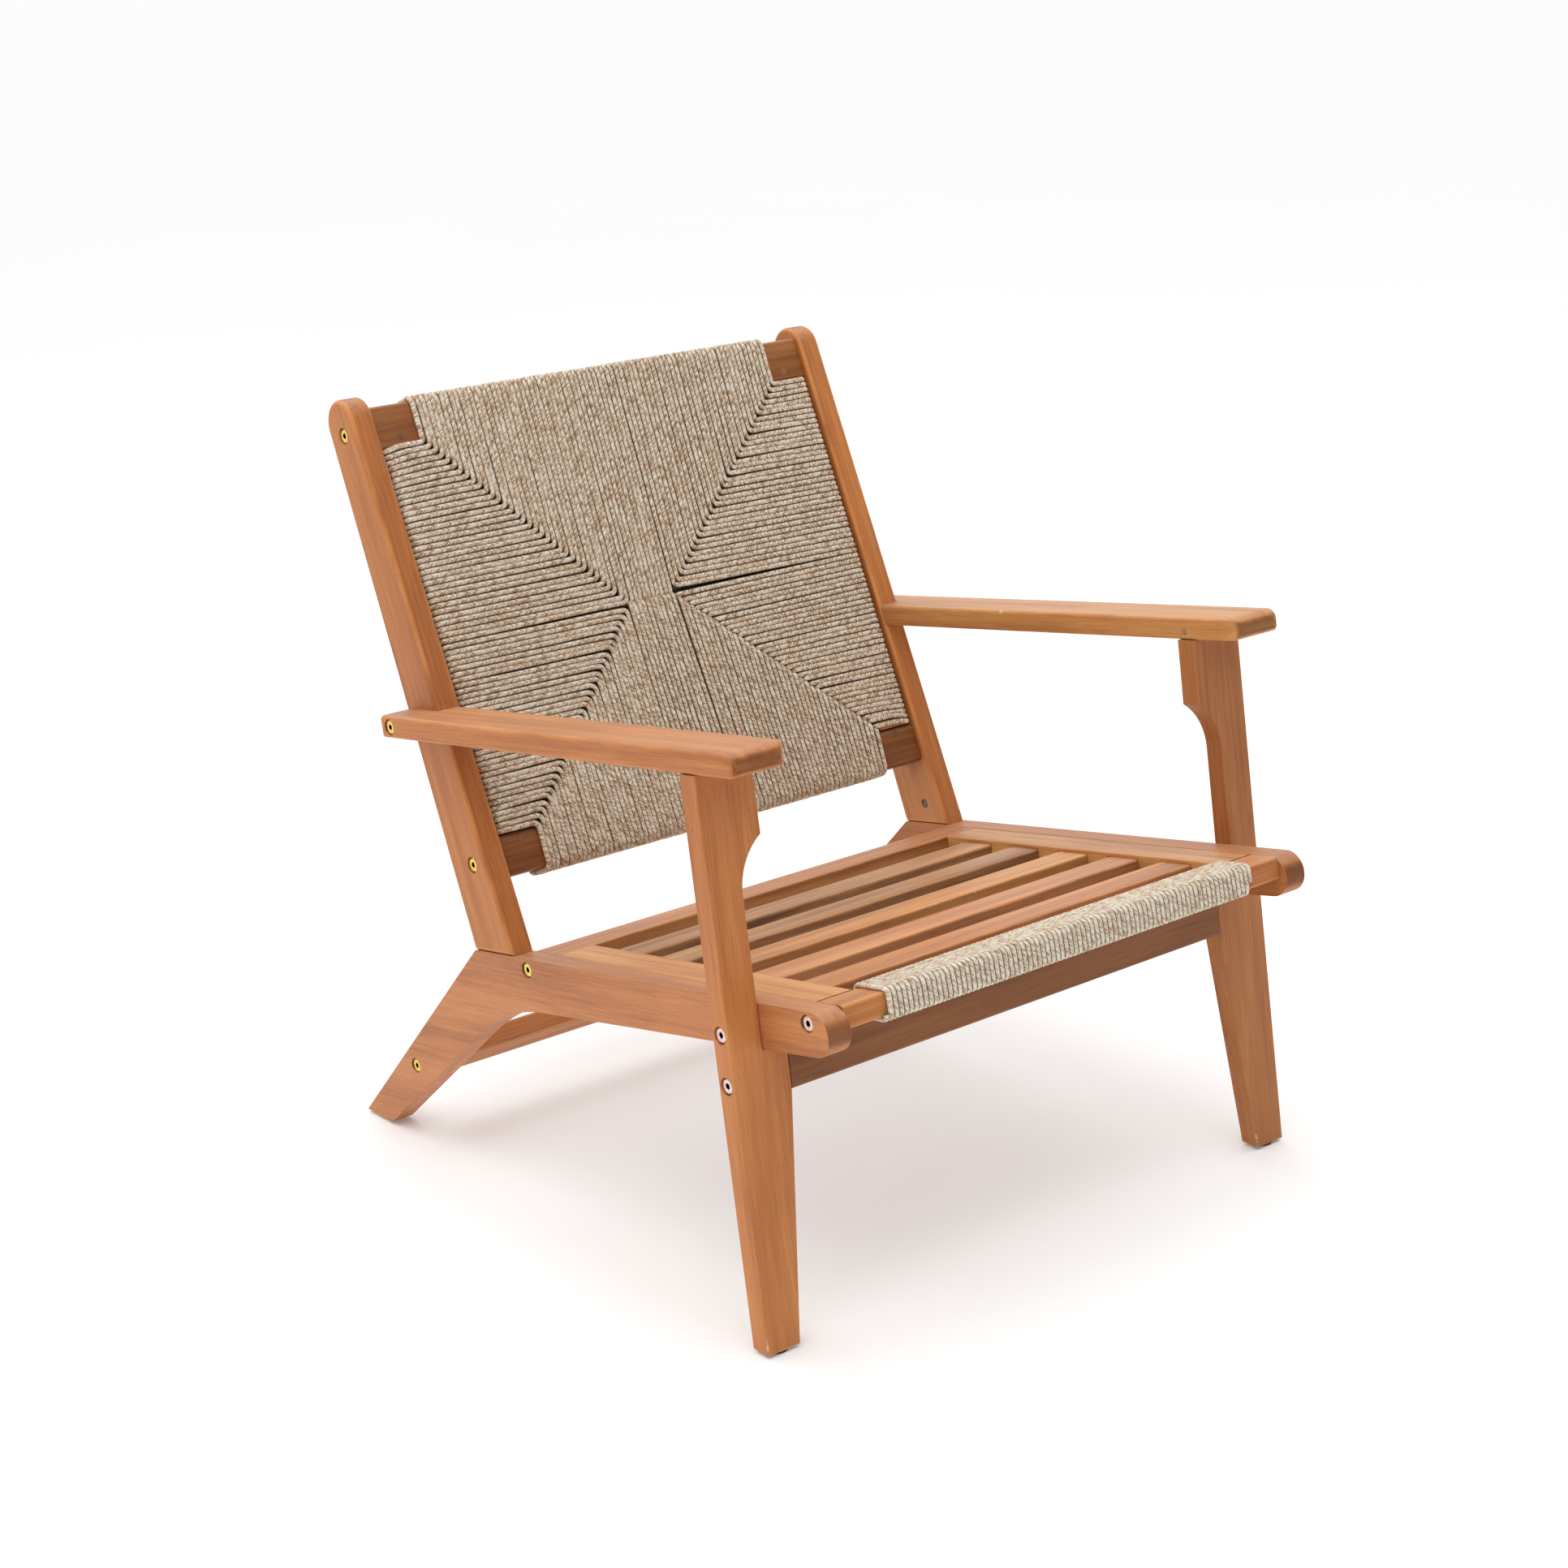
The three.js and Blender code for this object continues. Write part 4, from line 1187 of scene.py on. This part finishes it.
def add_filling(strands, rng):
    """The strands that cross inside, between the front and the back face."""
    for j in range(INNER_COUNT):
        x = part_way((-INNER_X, INNER_X), j / (INNER_COUNT - 1))
        line = [(x, INNER_M + rng.uniform(-1, 1), part_way(INNER_S, i / 12)) for i in range(13)]
        strands.sweep(line, INNER_R, False, rng.uniform(0, 90))


def middle_strand(share, tuck, tuck_s, rail, rail_s):
    """The closed line of one strand that goes round a rail only."""
    x = part_way(tuck, share)
    rail_x = part_way(rail, share)
    turns = [
        (x, FRONT_M, tuck_s),
        (rail_x, FRONT_M, rail_s),
        (rail_x, REAR_M, rail_s),
        (x, REAR_M, tuck_s),
    ]
    return route(turns, [4, 9, 9, 4], LINE_STEP)


def add_weave(material):
    rng = random.Random(3)
    strands = Strands(WEAVE_CORE)
    for key, (_outer, _inner, _rail, side, _turn, _dives) in QUARTERS.items():
        pitch = abs(side[1] - side[0]) / (QUARTER - 1)
        for k in range(QUARTER):
            line = wobble(corner_strand(key, k, rng), rng, 0.22)
            radius = pitch / 2 + rng.uniform(-0.08, 0.06)
            # Nothing touches the outer side of each corner's first strand.
            outer_side = -1 if key in ("upper_left", "lower_right") else 1
            free = outer_side if k == 0 else 0
            start = rng.uniform(0, 90)
            strands.sweep(line, pressed(line, radius), True, start, free=free)
    for count, *ends in MIDDLES:
        for j in range(count):
            line = wobble(middle_strand(j / (count - 1), *ends), rng, 0.25)
            radius = ROPE_R + rng.uniform(-0.2, 0.0)
            strands.sweep(line, radius, True, rng.uniform(0, 90))
    add_filling(strands, rng)
    obj = strands.build("back_weave_rope", BACK, material)
    publish(obj, "back_weave")


WRAP_TURNS = 81
WRAP_X = 228.0
WRAP_LIFT = 2.35  # of the rope's centre line over the rail
WRAP_CORNER = 5.5
WRAP_END = 2.9  # from the end of the wrap to the centre of its last turn
WRAP_FLAT = 0.84
WRAP_CORE = ((-WRAP_X, WRAP_X), FRONT_RAIL, SEAT_DEPTH)


def wrap_line(rng):
    """The line of the wound rope, and how many turns of the rope lie before each point."""
    y0, y1 = FRONT_RAIL[0] - WRAP_LIFT, FRONT_RAIL[1] + WRAP_LIFT
    z0, z1 = SEAT_DEPTH[0] - WRAP_LIFT, SEAT_DEPTH[1] + WRAP_LIFT
    corners = [(0, y0, z0), (0, y1, z0), (0, y1, z1), (0, y0, z1)]
    section = route(corners, [WRAP_CORNER] * 4, 7, 5)
    count = len(section)
    reach = WRAP_X - WRAP_END
    points = []
    for turn in range(WRAP_TURNS):
        jitter = rng.uniform(-0.25, 0.25)
        for k, (_x, y, z) in enumerate(section):
            x = -reach + 2 * reach * (turn + k / count) / WRAP_TURNS
            points.append((x + jitter * math.sin(math.pi * k / count), y, z))
    return points, np.arange(len(points)) / count


def add_front_wrap(material):
    """One rope wound round the front seat rail, side by side."""
    points, turns = wrap_line(random.Random(5))
    free = (turns < 1.2).astype(int) - (turns > WRAP_TURNS - 1.2).astype(int)
    radius = WRAP_X / WRAP_TURNS * 0.98
    strands = Strands(WRAP_CORE)
    strands.sweep(points, radius, False, 0.0, WRAP_FLAT, free)
    obj = strands.build("front_rail_rope", SEAT, material)
    publish(obj, "front_rail_wrap")


# ---- pieces that keep their CAD shape ----


def dress(node, material):
    """Gives a CAD node its material."""
    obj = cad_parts[node]
    obj.data.materials.clear()
    obj.data.materials.append(material)


def add_small_parts(materials):
    plug_dark = wood("plug_wood_dark", BACK, "y", "grey", 91)
    plug_light = wood("plug_wood_light", BACK, "y", "pale", 92)
    for side, _sign in SIDES:
        dress("plug_top_rail_" + side, plug_light if side == "right" else plug_dark)
        dress("plug_low_rail_" + side, plug_light if side == "left" else plug_dark)
        dress("arm_pin_" + side, plug_dark)
        dress("barrel_nut_" + side, materials["nut"])
        dress("cross_bolt_" + side, materials["steel"])
        dress("glide_front_" + side, materials["pad"])
        dress("glide_rear_" + side, materials["pad"])


# ---- floor and light ----


FLOOR_RADIUS = 300  # metres
FLOOR_GLOW = {"Emission_Color": (0.98, 0.99, 1.0, 1), "Emission_Strength": 0.125}
KEY_PLACE = (-0.6, -0.9, 3.6)  # metres
KEY_SIZE = 4.5
KEY_POWER = 74
KEY_AIM = (0, 0, 0.35)
SKY = {"base": 0.34, "right": 0.016, "rear": 0.61, "up": 0.92}
SKY_LEAST = 0.05
HORIZON = 0.96


def add_floor():
    """A pale floor that glows a little, so that it stays white in the soft light."""
    n = Nodes(bpy.data.materials.new("studio_floor"))
    where = n.add("ShaderNodeTexCoord").outputs["Object"]
    cloud = n.noise(where, 0.8, 2.0)
    color = n.mix(cloud, (0.87, 0.87, 0.87, 1), (0.89, 0.89, 0.89, 1))
    material = n.finish(color, 0.9, Specular_IOR_Level=0.1, **FLOOR_GLOW)
    bm = bmesh.new()
    bmesh.ops.create_circle(bm, cap_ends=True, radius=FLOOR_RADIUS, segments=64)
    to_object(bm, "floor", material)


def add_sky():
    """Soft light that is brightest overhead and behind, as from a large ceiling box,
    with a plain white band at the horizon."""
    n = Nodes(bpy.data.worlds.new("studio"), "ShaderNodeOutputWorld")
    where = n.add("ShaderNodeTexCoord").outputs["Generated"]
    x, y, z = n.add("ShaderNodeSeparateXYZ", {"Vector": where}).outputs
    glow = n.math("MULTIPLY_ADD", x, SKY["right"], SKY["base"])
    glow = n.math("MULTIPLY_ADD", y, SKY["rear"], glow)
    glow = n.math("MULTIPLY_ADD", z, SKY["up"], glow)
    glow = n.math("MAXIMUM", glow, SKY_LEAST)
    rise = n.math("MULTIPLY_ADD", z, 9.0, -0.3, clamp=True)
    low = n.math("MULTIPLY_ADD", rise, -HORIZON, HORIZON)
    glow = n.math("MULTIPLY_ADD", glow, rise, low)
    background = n.add("ShaderNodeBackground", {"Color": (1, 1, 1, 1), "Strength": glow})
    n.tree.links.new(background.outputs[0], n.out.inputs["Surface"])
    scene.world = n.owner


def add_key():
    """A large soft lamp over the chair, to the front and the left."""
    data = bpy.data.lights.new("key", "AREA")
    data.size = KEY_SIZE
    data.energy = KEY_POWER
    lamp = bpy.data.objects.new("key", data)
    lamp.location = KEY_PLACE
    aim = Vector(KEY_AIM) - Vector(KEY_PLACE)
    lamp.rotation_euler = aim.to_track_quat("-Z", "Y").to_euler()
    scene.collection.objects.link(lamp)


scene.view_settings.view_transform = "Standard"
add_camera()
add_floor()
add_sky()
add_key()
looks = {
    "brass": metal("brass_plating", srgb(255, 238, 132), srgb(226, 190, 84), 1.0),
    "steel": metal("steel_plating", srgb(250, 226, 222), srgb(214, 184, 178), 2.0),
    # Painted shade for the inside of the hex sockets.
    "socket": metal("socket_shade", srgb(74, 62, 54), srgb(30, 24, 20), 4.0),
    "nut": metal("nut_plating", srgb(150, 136, 124), srgb(70, 56, 46), 3.0),
    "pad": pad_material(),
}
add_panels()
add_legs()
add_arms()
add_posts()
add_back_frame()
add_seat()
add_cross_rails()
add_weave(rope_material("rope_back", 0.0))
add_front_wrap(rope_material("rope_front", 0.14))
add_bolts(looks)
add_small_parts(looks)
